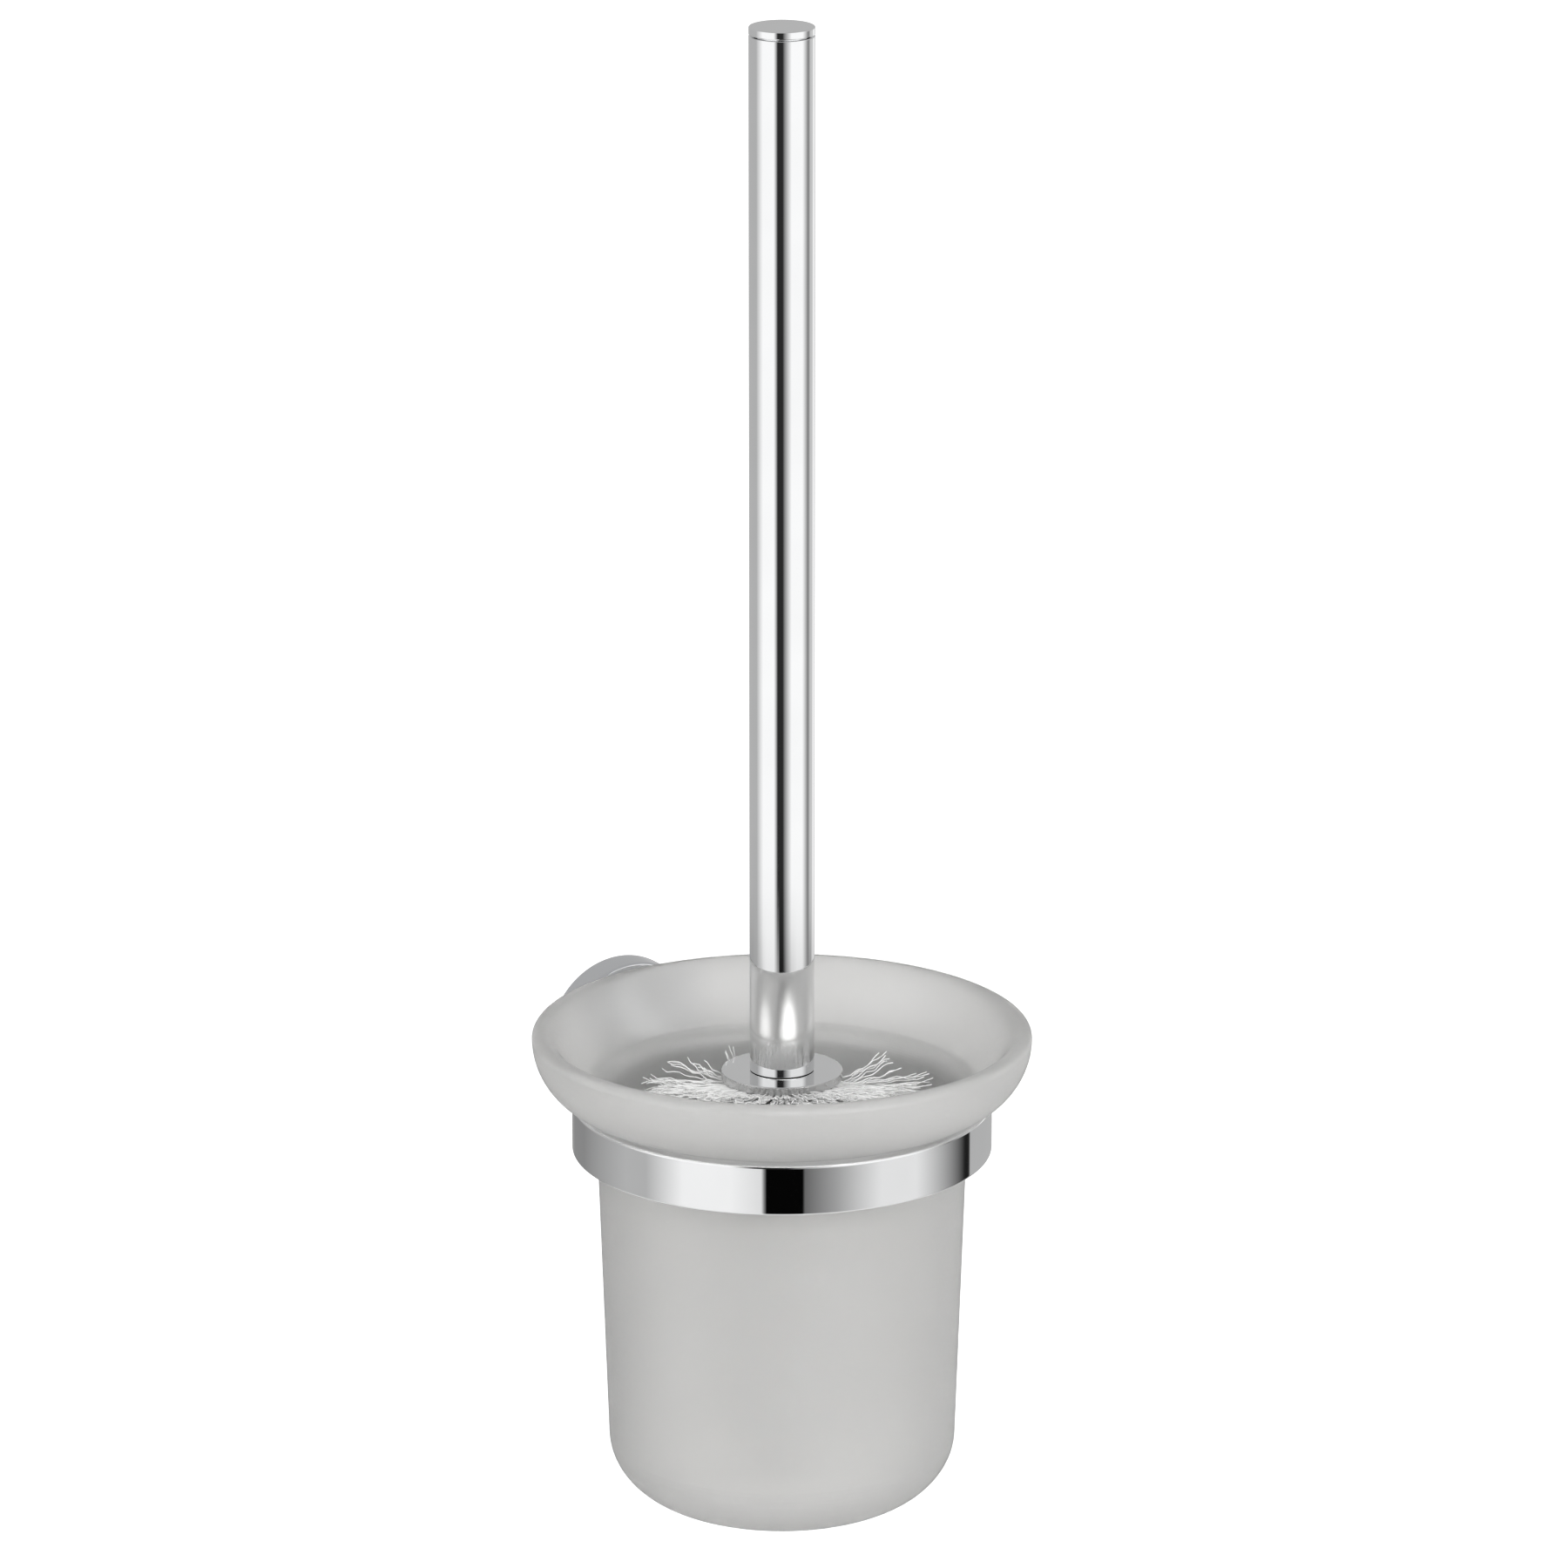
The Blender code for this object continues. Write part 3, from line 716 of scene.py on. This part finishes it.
def glass_profile():
    """Half section of the tumbler, up its inside, over the lip and down its outside."""
    base = GLASS_LOW.z
    floor = base + GLASS_FLOOR
    flare_low = RING_HIGH.z + GAP

    def side(height):
        return BODY_RADIUS + BODY_TAPER * (height - base)

    inner_reach = FOOT_REACH - GLASS_WALL
    inner_rise = FOOT_RISE - GLASS_WALL
    corner_top = floor + inner_rise
    corner_centre = side(corner_top) - GLASS_WALL - inner_reach
    points = [(0.0, floor + PUNT_RISE)]
    for share in (0.25, 0.5, 0.75):
        points.append((corner_centre * share, floor + PUNT_RISE * (1.0 - share * share)))
    points += arc((corner_centre, corner_top), inner_reach, inner_rise, -90, 0, 18)

    flare_rise = FLARE_TOP - flare_low
    inside = side(0.0) - GLASS_WALL
    shoulder = FLARE_NECK - inside
    shoulder_centre = flare_low + GLASS_WALL - shoulder
    foot_side = side(corner_top) - GLASS_WALL
    for share in (0.2, 0.4, 0.6, 0.8):
        points.append((foot_side + (inside - foot_side) * share,
                       corner_top + (shoulder_centre - corner_top) * share))
    points += arc((FLARE_NECK, shoulder_centre), shoulder, shoulder, 180, 90, 12)
    lip = (FLARE_NECK + FLARE_REACH - LIP_ROUND, FLARE_TOP)
    start = (FLARE_NECK, flare_low + GLASS_WALL)
    steps = 32
    for step in range(1, steps + 1):
        share = step / steps
        eased = share * share * (3.0 - 2.0 * share)
        points.append((start[0] + (lip[0] - start[0]) * share,
                       start[1] + (lip[1] + LIP_ROUND - start[1]) * eased))
    points += rounded(lip, LIP_ROUND, 90, 0, 12)[1:]
    points += arc((FLARE_NECK, FLARE_TOP), FLARE_REACH, flare_rise, 0, -90, 22)[1:]

    neck = FLARE_NECK - side(flare_low)
    points += arc((FLARE_NECK, flare_low - neck), neck, neck, 90, 180, 8)[1:]
    foot_top = base + FOOT_RISE
    foot_centre = side(foot_top) - FOOT_REACH
    for share in (0.2, 0.4, 0.6, 0.8):
        height = flare_low - neck + (foot_top - flare_low + neck) * share
        points.append((side(height), height))
    points += arc((foot_centre, foot_top), FOOT_REACH, FOOT_RISE, 0, -84, 22)
    rest_ring = points[-1][0]
    points.append((rest_ring - REST_OUTER, base))
    points.append((rest_ring - REST_INNER, base + REST_LIFT))
    for share in (0.75, 0.5, 0.25):
        points.append((rest_ring * share, base + PUNT_RISE * (1.0 - share * share)))
    points.append((0.0, base + PUNT_RISE))
    return points


def add_tumbler(glass):
    return lathe("tumbler_glass", glass_profile(), glass)


# ---- brush ----

def add_rod(chrome):
    edge = 0.00025
    low = TUBE_LOW.z - SEAT
    high = TUBE_HIGH.z
    profile = [(ROD_BORE, high)]
    profile += rounded((ROD_RADIUS - edge, high - edge), edge, 90, 0, 4)
    steps = 24
    for step in range(1, steps):
        profile.append((ROD_RADIUS, high - edge + (low + 2.0 * edge - high) * step / steps))
    profile += rounded((ROD_RADIUS - FOOT_EDGE, low + FOOT_EDGE), FOOT_EDGE, 0, -90, 3)
    profile.append((ROD_BORE, low))
    return lathe("rod_tube", profile, chrome, sides=SMALL_SIDES * 2, closed=True)


def add_cap(chrome):
    top = CAP_HIGH.z
    seam = top - CAP_SEAM
    edge = 0.00035
    seam_edge = 0.0001
    spigot_edge = 0.0005
    spigot = ROD_BORE - GAP
    profile = [(0.0, top)]
    profile += rounded((ROD_RADIUS - edge, top - edge), edge, 90, 0, 6)
    profile += rounded((ROD_RADIUS - seam_edge, seam + seam_edge), seam_edge, 0, -90, 2)
    profile += [(spigot, seam), (spigot, CAP_LOW.z + spigot_edge), (spigot - spigot_edge, CAP_LOW.z),
                (0.0, CAP_LOW.z)]
    return lathe("rod_cap", profile, chrome, sides=SMALL_SIDES * 2)


def add_disc(chrome):
    edge = 0.0003
    profile = [(DISC_BORE, DISC_HIGH.z)]
    profile += rounded((DISC_RADIUS - edge, DISC_HIGH.z - edge), edge, 90, 0, 6)
    profile += rounded((DISC_RADIUS - edge, DISC_LOW.z + edge), edge, 0, -90, 6)
    profile.append((DISC_BORE, DISC_LOW.z))
    return lathe("drip_disc", profile, chrome, closed=True)


def add_core(finish):
    """Moulded core with a blind bore for the stud and a rounded nose."""
    top = CORE_HIGH.z
    low = CORE_LOW.z
    edge = 0.0010
    nose = 0.0030
    mouth = 0.0004
    floor = top - STUD_BORE_DEPTH
    profile = [(0.0, floor), (DISC_BORE, floor), (DISC_BORE, top - mouth), (DISC_BORE + mouth, top)]
    profile += rounded((CORE_RADIUS - edge, top - edge), edge, 90, 0, 6)
    profile += rounded((CORE_RADIUS - nose, low + nose), nose, 0, -90, 8)
    profile.append((0.0, low))
    return lathe("core_moulding", profile, finish, sides=SMALL_SIDES)


def filament(points, faces, path, root_radius, tip_radius, sides=4):
    """Add a tapered filament along path to a mesh being built."""
    last = len(path) - 1
    first_ring = len(points)
    across = Vector((0.0, 0.0, 1.0))
    for index, place in enumerate(path):
        ahead = (path[min(index + 1, last)] - path[max(index - 1, 0)]).normalized()
        side = ahead.cross(across)
        if side.length < 0.1:
            side = ahead.cross(Vector((1.0, 0.0, 0.0)))
        side.normalize()
        up = side.cross(ahead)
        radius = root_radius + (tip_radius - root_radius) * index / last
        for corner in range(sides):
            turn = 2.0 * math.pi * corner / sides
            points.append(place + side * (radius * math.cos(turn)) + up * (radius * math.sin(turn)))
    for index in range(last):
        low = first_ring + index * sides
        for corner in range(sides):
            after = (corner + 1) % sides
            faces.append((low + corner, low + sides + corner, low + sides + after, low + after))
    faces.append(tuple(first_ring + corner for corner in range(sides)))
    faces.append(tuple(first_ring + last * sides + corner for corner in reversed(range(sides))))


def radial_path(heading, low, high, start, reach, chance, wave, count, lift):
    """A filament's centre line, from (start, low) on the core to (reach, high), with a crimp of size wave."""
    phase = chance.uniform(0.0, 2.0 * math.pi)
    turns = chance.uniform(*CRIMP_TURNS)
    drift = chance.gauss(0.0, DRIFT)
    path = []
    for step in range(count + 1):
        share = step / count
        radius = start + (reach - start) * share
        swing = wave * share * math.sin(phase + 2.0 * math.pi * turns * share)
        lean = wave * 0.7 * share * math.cos(phase * 1.7 + 2.0 * math.pi * turns * 1.3 * share)
        angle = heading + drift * share + swing / radius
        height = low + (high - low) * share ** lift + lean
        path.append(Vector((AXIS.x + radius * math.cos(angle), AXIS.y + radius * math.sin(angle), height)))
    return path


def add_row(number, node, finish):
    """One ring of tufts: straight, slightly crimped filaments packed in round tufts."""
    low, high = corners(node)
    reach = (high.x - low.x) / 2.0
    middle = (low.z + high.z) / 2.0
    chance = random.Random(100 + number)
    points = []
    faces = []
    for tuft in range(TUFTS):
        heading = 2.0 * math.pi * (tuft + 0.5 * (number % 2)) / TUFTS
        for _ in range(TUFT_FILAMENTS):
            spot = TUFT_RADIUS * math.sqrt(chance.random())
            around = chance.uniform(0.0, 2.0 * math.pi)
            side = spot * math.cos(around)
            rise = spot * math.sin(around)
            angle = heading + side / CORE_RADIUS + chance.gauss(0.0, TUFT_SPREAD)
            tip = middle + rise * TIP_SPREAD + chance.gauss(0.0, TIP_SCATTER)
            path = radial_path(angle, middle + rise, tip, CORE_RADIUS - ROOT_DEPTH,
                               reach - abs(chance.gauss(0.0, TIP_UNEVEN)), chance, CRIMP, 6, 1.0)
            filament(points, faces, path, FILAMENT, FILAMENT * FILAMENT_TAPER, 3)
    return new_piece("bristles_%d" % number, points, faces, finish, math.pi)


def fan_height(away):
    """Height of the fan's top, by the angle away from its front in degrees: tall in front, low behind."""
    for (start, first), (end, second) in zip(FAN_TOPS, FAN_TOPS[1:]):
        if away <= end:
            return first + (second - first) * (away - start) / (end - start)
    return FAN_TOPS[-1][1]


def add_fan(finish):
    """The top row, splayed out from under the disc: dense low tufts, then a few long stray filaments."""
    chance = random.Random(7)
    points = []
    faces = []
    root = CORE_RADIUS - ROOT_DEPTH
    for layer in range(FAN_LAYERS):
        base = CORE_HIGH.z - FAN_START - FAN_LAYER_STEP * layer
        for tuft in range(TUFTS):
            heading = 2.0 * math.pi * (tuft + 0.5 * layer) / TUFTS
            for _ in range(FAN_FILAMENTS):
                spot = TUFT_RADIUS * math.sqrt(chance.random())
                around = chance.uniform(0.0, 2.0 * math.pi)
                angle = heading + spot * math.cos(around) / CORE_RADIUS + chance.gauss(0.0, FAN_SPREAD)
                away = abs(math.degrees(math.remainder(angle - FACING, 2.0 * math.pi)))
                start = base + spot * math.sin(around)
                tip = fan_height(away) - FAN_TIP_STEP * layer - abs(chance.gauss(0.0, FAN_RAGGED))
                reach = chance.uniform(*FAN_REACH)
                path = radial_path(angle, start, tip, root, reach, chance, FAN_CRIMP, 10, 1.0)
                filament(points, faces, path, FAN_FILAMENT, FAN_FILAMENT * FILAMENT_TAPER)
    for middle, wide, low, high, near, far, count in FAN_STRAYS:
        for _ in range(count):
            angle = FACING + math.radians(chance.uniform(middle - wide, middle + wide))
            start = CORE_HIGH.z - chance.uniform(*STRAY_START)
            path = radial_path(angle, start, chance.uniform(low, high), root, chance.uniform(near, far),
                               chance, STRAY_CRIMP, 14, STRAY_LIFT)
            filament(points, faces, path, STRAY_FILAMENT, STRAY_FILAMENT * FILAMENT_TAPER)
    for _ in range(CURLS):
        angle = FACING + math.radians(chance.uniform(*CURL_HEADINGS))
        path = radial_path(angle, CORE_HIGH.z - CURL_START, DISC_HIGH.z + chance.uniform(*CURL_RISE), root,
                           DISC_RADIUS + chance.uniform(*CURL_REACH), chance, CURL_CRIMP, 14, CURL_LIFT)
        filament(points, faces, path, STRAY_FILAMENT, STRAY_FILAMENT * FILAMENT_TAPER)
    return new_piece("bristles_1", points, faces, finish, math.pi)


def add_end_tufts(finish):
    """Tufts on the end of the core, splayed out and trimmed to the floor of the tumbler."""
    chance = random.Random(51)
    points = []
    faces = []
    limit = (END_HIGH.x - END_LOW.x) / 2.0 * END_REACH
    floor = END_LOW.z + END_GAP
    top = END_HIGH.z
    for ring, count in END_RINGS:
        for tuft in range(count):
            heading = 2.0 * math.pi * tuft / count
            centre = Vector((ring * math.cos(heading), ring * math.sin(heading), 0.0))
            for _ in range(TUFT_FILAMENTS + END_EXTRA):
                spot = TUFT_RADIUS * math.sqrt(chance.random())
                around = chance.uniform(0.0, 2.0 * math.pi)
                foot = centre + Vector((spot * math.cos(around), spot * math.sin(around), 0.0))
                splay = foot * chance.uniform(*END_SPLAY)
                splay += Vector((chance.gauss(0.0, END_SCATTER), chance.gauss(0.0, END_SCATTER), 0.0))
                if splay.length > limit:
                    splay *= limit / splay.length
                path = []
                for step in range(6):
                    share = step / 5.0
                    side = foot.lerp(splay, share ** 1.5)
                    path.append(Vector((AXIS.x + side.x, AXIS.y + side.y, top + (floor - top) * share)))
                filament(points, faces, path, FILAMENT, FILAMENT * 0.7, 3)
    return new_piece("bristles_end", points, faces, finish, math.pi)


# ---- stage ----

def add_camera():
    data = bpy.data.cameras.new("camera")
    data.lens = CAMERA_LENS
    data.sensor_width = SENSOR
    data.clip_start = 0.05
    data.clip_end = 100.0
    camera = bpy.data.objects.new("camera", data)
    bpy.context.scene.collection.objects.link(camera)
    camera.location = (AXIS.x + CAMERA_REACH * math.sin(CAMERA_TURN),
                       AXIS.y - CAMERA_REACH * math.cos(CAMERA_TURN), CAMERA_HEIGHT)
    aside = Vector((math.cos(CAMERA_TURN), math.sin(CAMERA_TURN), 0.0)) * AIM_ASIDE
    aim = Vector((AXIS.x, AXIS.y, AIM_HEIGHT)) + aside - camera.location
    camera.rotation_euler = aim.to_track_quat("-Z", "Y").to_euler()
    bpy.context.scene.camera = camera


def shown(value):
    """Linear light for a grey that is to be shown as value, from 0 to 1."""
    return ((value + 0.055) / 1.055) ** 2.4 if value > 0.04045 else value / 12.92


# The studio's walls, which the chrome mirrors. A panel runs from one heading to another, in degrees from
# FACING, in one grey, and the grey fades evenly from each panel to the next.
HIGH_ROOM = (-150, -100, 0.70)
HIGH_LEFT_BOX = (-70, -28, 1.00)
HIGH_GAP = (-15, 3, 0.17)       # the dark round the camera
HIGH_RIGHT_BOX = (34, 76, 1.00)
HIGH_FLAG = (102, 105, 0.50)
LOW_CORNER = (-160, -140, 0.54)
LOW_ROOM = (-95, -80, 0.70)
LOW_LEFT_BOX = (-56, -28, 0.96)
LOW_BOX_EDGE = (-10.5, -10.5, 0.88)
LOW_GAP = (-9.5, 11.5, 0.02)
LOW_SHADE = (12.5, 12.5, 0.41)  # the right softbox is dim beside the gap and brightens away from it
LOW_SLOPE = (30, 30, 0.63)
LOW_RIGHT_BOX = (56, 79, 0.90)
LOW_FLAG = (120, 125, 0.12)     # a black flag at the softbox's far side
# The ring mirrors the lower walls, the rod the upper ones, and the flat tops of the disc and the cap the
# sky walls.
UPPER_WALLS = ((-180, -180, 0.75), HIGH_ROOM, HIGH_LEFT_BOX, HIGH_GAP, HIGH_RIGHT_BOX, HIGH_FLAG,
               (117, 130, 0.78), (140, 150, 0.97), (162, 180, 0.75))
LOWER_WALLS = ((-180, -180, 0.70), LOW_CORNER, LOW_ROOM, LOW_LEFT_BOX, LOW_BOX_EDGE, LOW_GAP, LOW_SHADE,
               LOW_SLOPE, LOW_RIGHT_BOX, LOW_FLAG, (126.5, 180, 0.70))
SKY_WALLS = ((-180, -98, 0.71), HIGH_LEFT_BOX, HIGH_GAP, HIGH_RIGHT_BOX, (98, 180, 0.71))
# Heights, as sines, between which one band of walls turns into the next.
WALLS_MEET = (-0.320, -0.295)
SKY_STARTS = (-0.12, 0.12)
TOP_STARTS = (0.50, 0.75)
GROUND_ENDS = (-0.75, -0.50)
TOP_LIGHT = 0.45                # light from straight above and straight below
LOW_LIGHT = 0.75
# Where the pale backdrop behind the object hides the walls from light passed on by the glass.
BACKDROP = ((-180, -120, 1.0), (-85, 75, 0.0), (110, 180, 1.0))
THROUGH_LIGHT = 0.64            # how bright the backdrop looks through the glass
THROUGH_LOSS = 0.30             # share of the front walls' light that the glass takes

# Lamps: name, heading from FACING in degrees, reach, height, size, watts.
LAMPS = (("key", 22.0, 1.8, 0.43, 2.6, 50.0),
         ("fill", -62.0, 1.8, 0.36, 2.0, 18.5),
         ("rim", 122.0, 1.6, 0.15, 1.2, 2.0))

FLOOR_HALF = 30.0
FLOOR_HEIGHT = -2.6             # low enough to see the object from below too


def mixed(tree, factor, first, second):
    """Blend two colours, each a socket or a plain grey, by a factor socket."""
    blend = tree.nodes.new("ShaderNodeMix")
    blend.data_type = "RGBA"
    tree.links.new(factor, blend.inputs["Factor"])
    for name, colour in (("A", first), ("B", second)):
        if isinstance(colour, float):
            blend.inputs[name].default_value = (colour, colour, colour, 1.0)
        else:
            tree.links.new(colour, blend.inputs[name])
    return blend.outputs["Result"]


def wall_ramp(tree, heading, panels):
    """Grey by heading: even over each panel, and fading from one to the next."""
    edges = [(degrees, grey) for start, end, grey in panels for degrees in (start, end)]
    ramp = tree.nodes.new("ShaderNodeValToRGB")
    stops = ramp.color_ramp.elements
    while len(stops) < len(edges):
        stops.new(0.5)
    for stop, (degrees, _) in zip(stops, edges):
        stop.position = 0.5 + degrees / 360.0
    for stop, (_, grey) in zip(stops, edges):
        light = shown(grey)
        stop.color = (light, light, light, 1.0)
    tree.links.new(heading, ramp.inputs["Fac"])
    return ramp.outputs["Color"]


def rising(tree, value, start, end):
    """0 below start, 1 above end, smooth between them."""
    share = tree.nodes.new("ShaderNodeMapRange")
    share.interpolation_type = "SMOOTHSTEP"
    share.inputs["From Min"].default_value = start
    share.inputs["From Max"].default_value = end
    tree.links.new(value, share.inputs["Value"])
    return share.outputs["Result"]


def add_world():
    """A studio: grey, white and black walls by heading, a soft top and a pale ground, white to the camera."""
    world = bpy.data.worlds.new("studio")
    bpy.context.scene.world = world
    world.use_nodes = True
    tree = world.node_tree
    tree.nodes.clear()
    where = tree.nodes.new("ShaderNodeTexCoord")
    turn = tree.nodes.new("ShaderNodeVectorRotate")
    turn.rotation_type = "Z_AXIS"
    turn.inputs["Angle"].default_value = -FACING
    heading = tree.nodes.new("ShaderNodeTexGradient")
    heading.gradient_type = "RADIAL"
    split = tree.nodes.new("ShaderNodeSeparateXYZ")
    tree.links.new(where.outputs["Generated"], turn.inputs["Vector"])
    tree.links.new(turn.outputs["Vector"], heading.inputs["Vector"])
    tree.links.new(where.outputs["Generated"], split.inputs["Vector"])
    height = split.outputs["Z"]
    lower = wall_ramp(tree, heading.outputs["Fac"], LOWER_WALLS)
    upper = wall_ramp(tree, heading.outputs["Fac"], UPPER_WALLS)
    walls = mixed(tree, rising(tree, height, *WALLS_MEET), lower, upper)
    sky = wall_ramp(tree, heading.outputs["Fac"], SKY_WALLS)
    skied = mixed(tree, rising(tree, height, *SKY_STARTS), walls, sky)
    topped = mixed(tree, rising(tree, height, *TOP_STARTS), skied, TOP_LIGHT)
    grounded = mixed(tree, rising(tree, height, *GROUND_ENDS), LOW_LIGHT, topped)
    path = tree.nodes.new("ShaderNodeLightPath")
    loss = tree.nodes.new("ShaderNodeMath")
    loss.operation = "MULTIPLY"
    loss.inputs[1].default_value = THROUGH_LOSS
    tree.links.new(path.outputs["Is Transmission Ray"], loss.inputs[0])
    dimmed = mixed(tree, loss.outputs["Value"], grounded, 0.0)
    behind = tree.nodes.new("ShaderNodeMath")
    behind.operation = "MULTIPLY"
    tree.links.new(path.outputs["Is Transmission Ray"], behind.inputs[0])
    tree.links.new(wall_ramp(tree, heading.outputs["Fac"], BACKDROP), behind.inputs[1])
    blurred = mixed(tree, behind.outputs["Value"], dimmed, THROUGH_LIGHT)
    background = tree.nodes.new("ShaderNodeBackground")
    out = tree.nodes.new("ShaderNodeOutputWorld")
    tree.links.new(mixed(tree, path.outputs["Is Camera Ray"], blurred, 1.0), background.inputs["Color"])
    tree.links.new(background.outputs["Background"], out.inputs["Surface"])


def add_floor():
    """Plain pale floor that throws no light or shadow on the object."""
    half = FLOOR_HALF
    spots = [(-half, -half), (half, -half), (half, half), (-half, half)]
    floor = new_piece("floor", [(x, y, FLOOR_HEIGHT) for x, y in spots], [(0, 1, 2, 3)], floor_finish())
    floor.visible_diffuse = False
    floor.visible_glossy = False
    floor.visible_transmission = False
    floor.visible_shadow = False


def add_light(name, heading, reach, height, size, watts):
    """Soft round lamp, aimed at the tumbler and kept out of the chrome."""
    data = bpy.data.lights.new(name, "AREA")
    data.shape = "DISK"
    data.size = size
    data.energy = watts
    light = bpy.data.objects.new(name, data)
    bpy.context.scene.collection.objects.link(light)
    turn = FACING + math.radians(heading)
    light.location = (AXIS.x + reach * math.cos(turn), AXIS.y + reach * math.sin(turn), height)
    light.rotation_euler = (AXIS - light.location).to_track_quat("-Z", "Y").to_euler()
    light.visible_glossy = False


def show(piece, body, slot, *nodes):
    """Make a piece ride on its body and stand for its CAD nodes; its slot is not used."""
    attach(piece, body)
    if nodes:
        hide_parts(*nodes)


def main():
    scene = bpy.context.scene
    scene.view_settings.view_transform = "Standard"
    add_camera()
    add_world()
    add_floor()
    for lamp in LAMPS:
        add_light(*lamp)

    chrome = chrome_finish()
    glass = glass_finish()
    steel = metal_finish("stainless", (0.52, 0.52, 0.51), (0.66, 0.66, 0.65), 0.22, 0.38)
    zinc = metal_finish("zinc", (0.48, 0.49, 0.50), (0.60, 0.61, 0.62), 0.38, 0.55)
    brass = metal_finish("brass", (0.66, 0.52, 0.27), (0.76, 0.62, 0.35), 0.24, 0.36)
    bristle = bristle_finish()

    # Painted shade: the rosette takes a darker copy of the chrome.
    shaded = chrome_finish("rosette_shaded_chrome", (0.78, 0.79, 0.81), (0.82, 0.83, 0.85))
    show(add_rosette(shaded), "wall_mount", "chrome", "rosette")
    show(add_arm(chrome), "wall_mount", "chrome", "arm")
    show(add_ring(chrome), "wall_mount", "chrome", "holder_ring")
    show(add_liner(liner_finish()), "wall_mount", "liner", "ring_liner")
    show(add_tumbler(glass), "tumbler", "frosted_glass", "glass_tumbler")
    show(add_rod(rod_finish()), "brush", "chrome", "handle_tube")
    show(add_cap(chrome), "brush", "chrome", "handle_cap")
    show(add_disc(disc_finish()), "brush", "chrome", "splash_disc")
    show(add_core(core_finish()), "brush_head", "core", "head_core")
    show(add_fan(bristle), "brush_head", "bristle", "bristle_row_1")
    for number, node in enumerate(ROWS, 1):
        if number > 1:
            show(add_row(number, node, bristle), "brush_head", "bristle", node)
    show(add_end_tufts(bristle), "brush_head", "bristle", "bristle_end")

    for label in ("upper", "lower"):
        node = "wall_screw_" + label
        show(add_countersunk("wall_bolt_" + label, node, steel, WALL_SHANK, SET_PITCH),
             "wall_mount", "stainless", node)
    show(add_countersunk("ring_bolt", "ring_screw", steel, ARM_SHANK, SCREW_PITCH),
         "wall_mount", "stainless", "ring_screw")
    show(add_arm_screw(steel), "wall_mount", "stainless", "arm_screw")
    show(add_set_screw(steel), "wall_mount", "stainless", "rosette_set_screw")
    show(add_stud(steel), "brush_head", "stainless", "head_stud")
    show(add_insert(brass), "brush", "brass", "handle_insert")

    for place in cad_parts["wall_bracket"].material_slots:
        place.material = zinc


main()
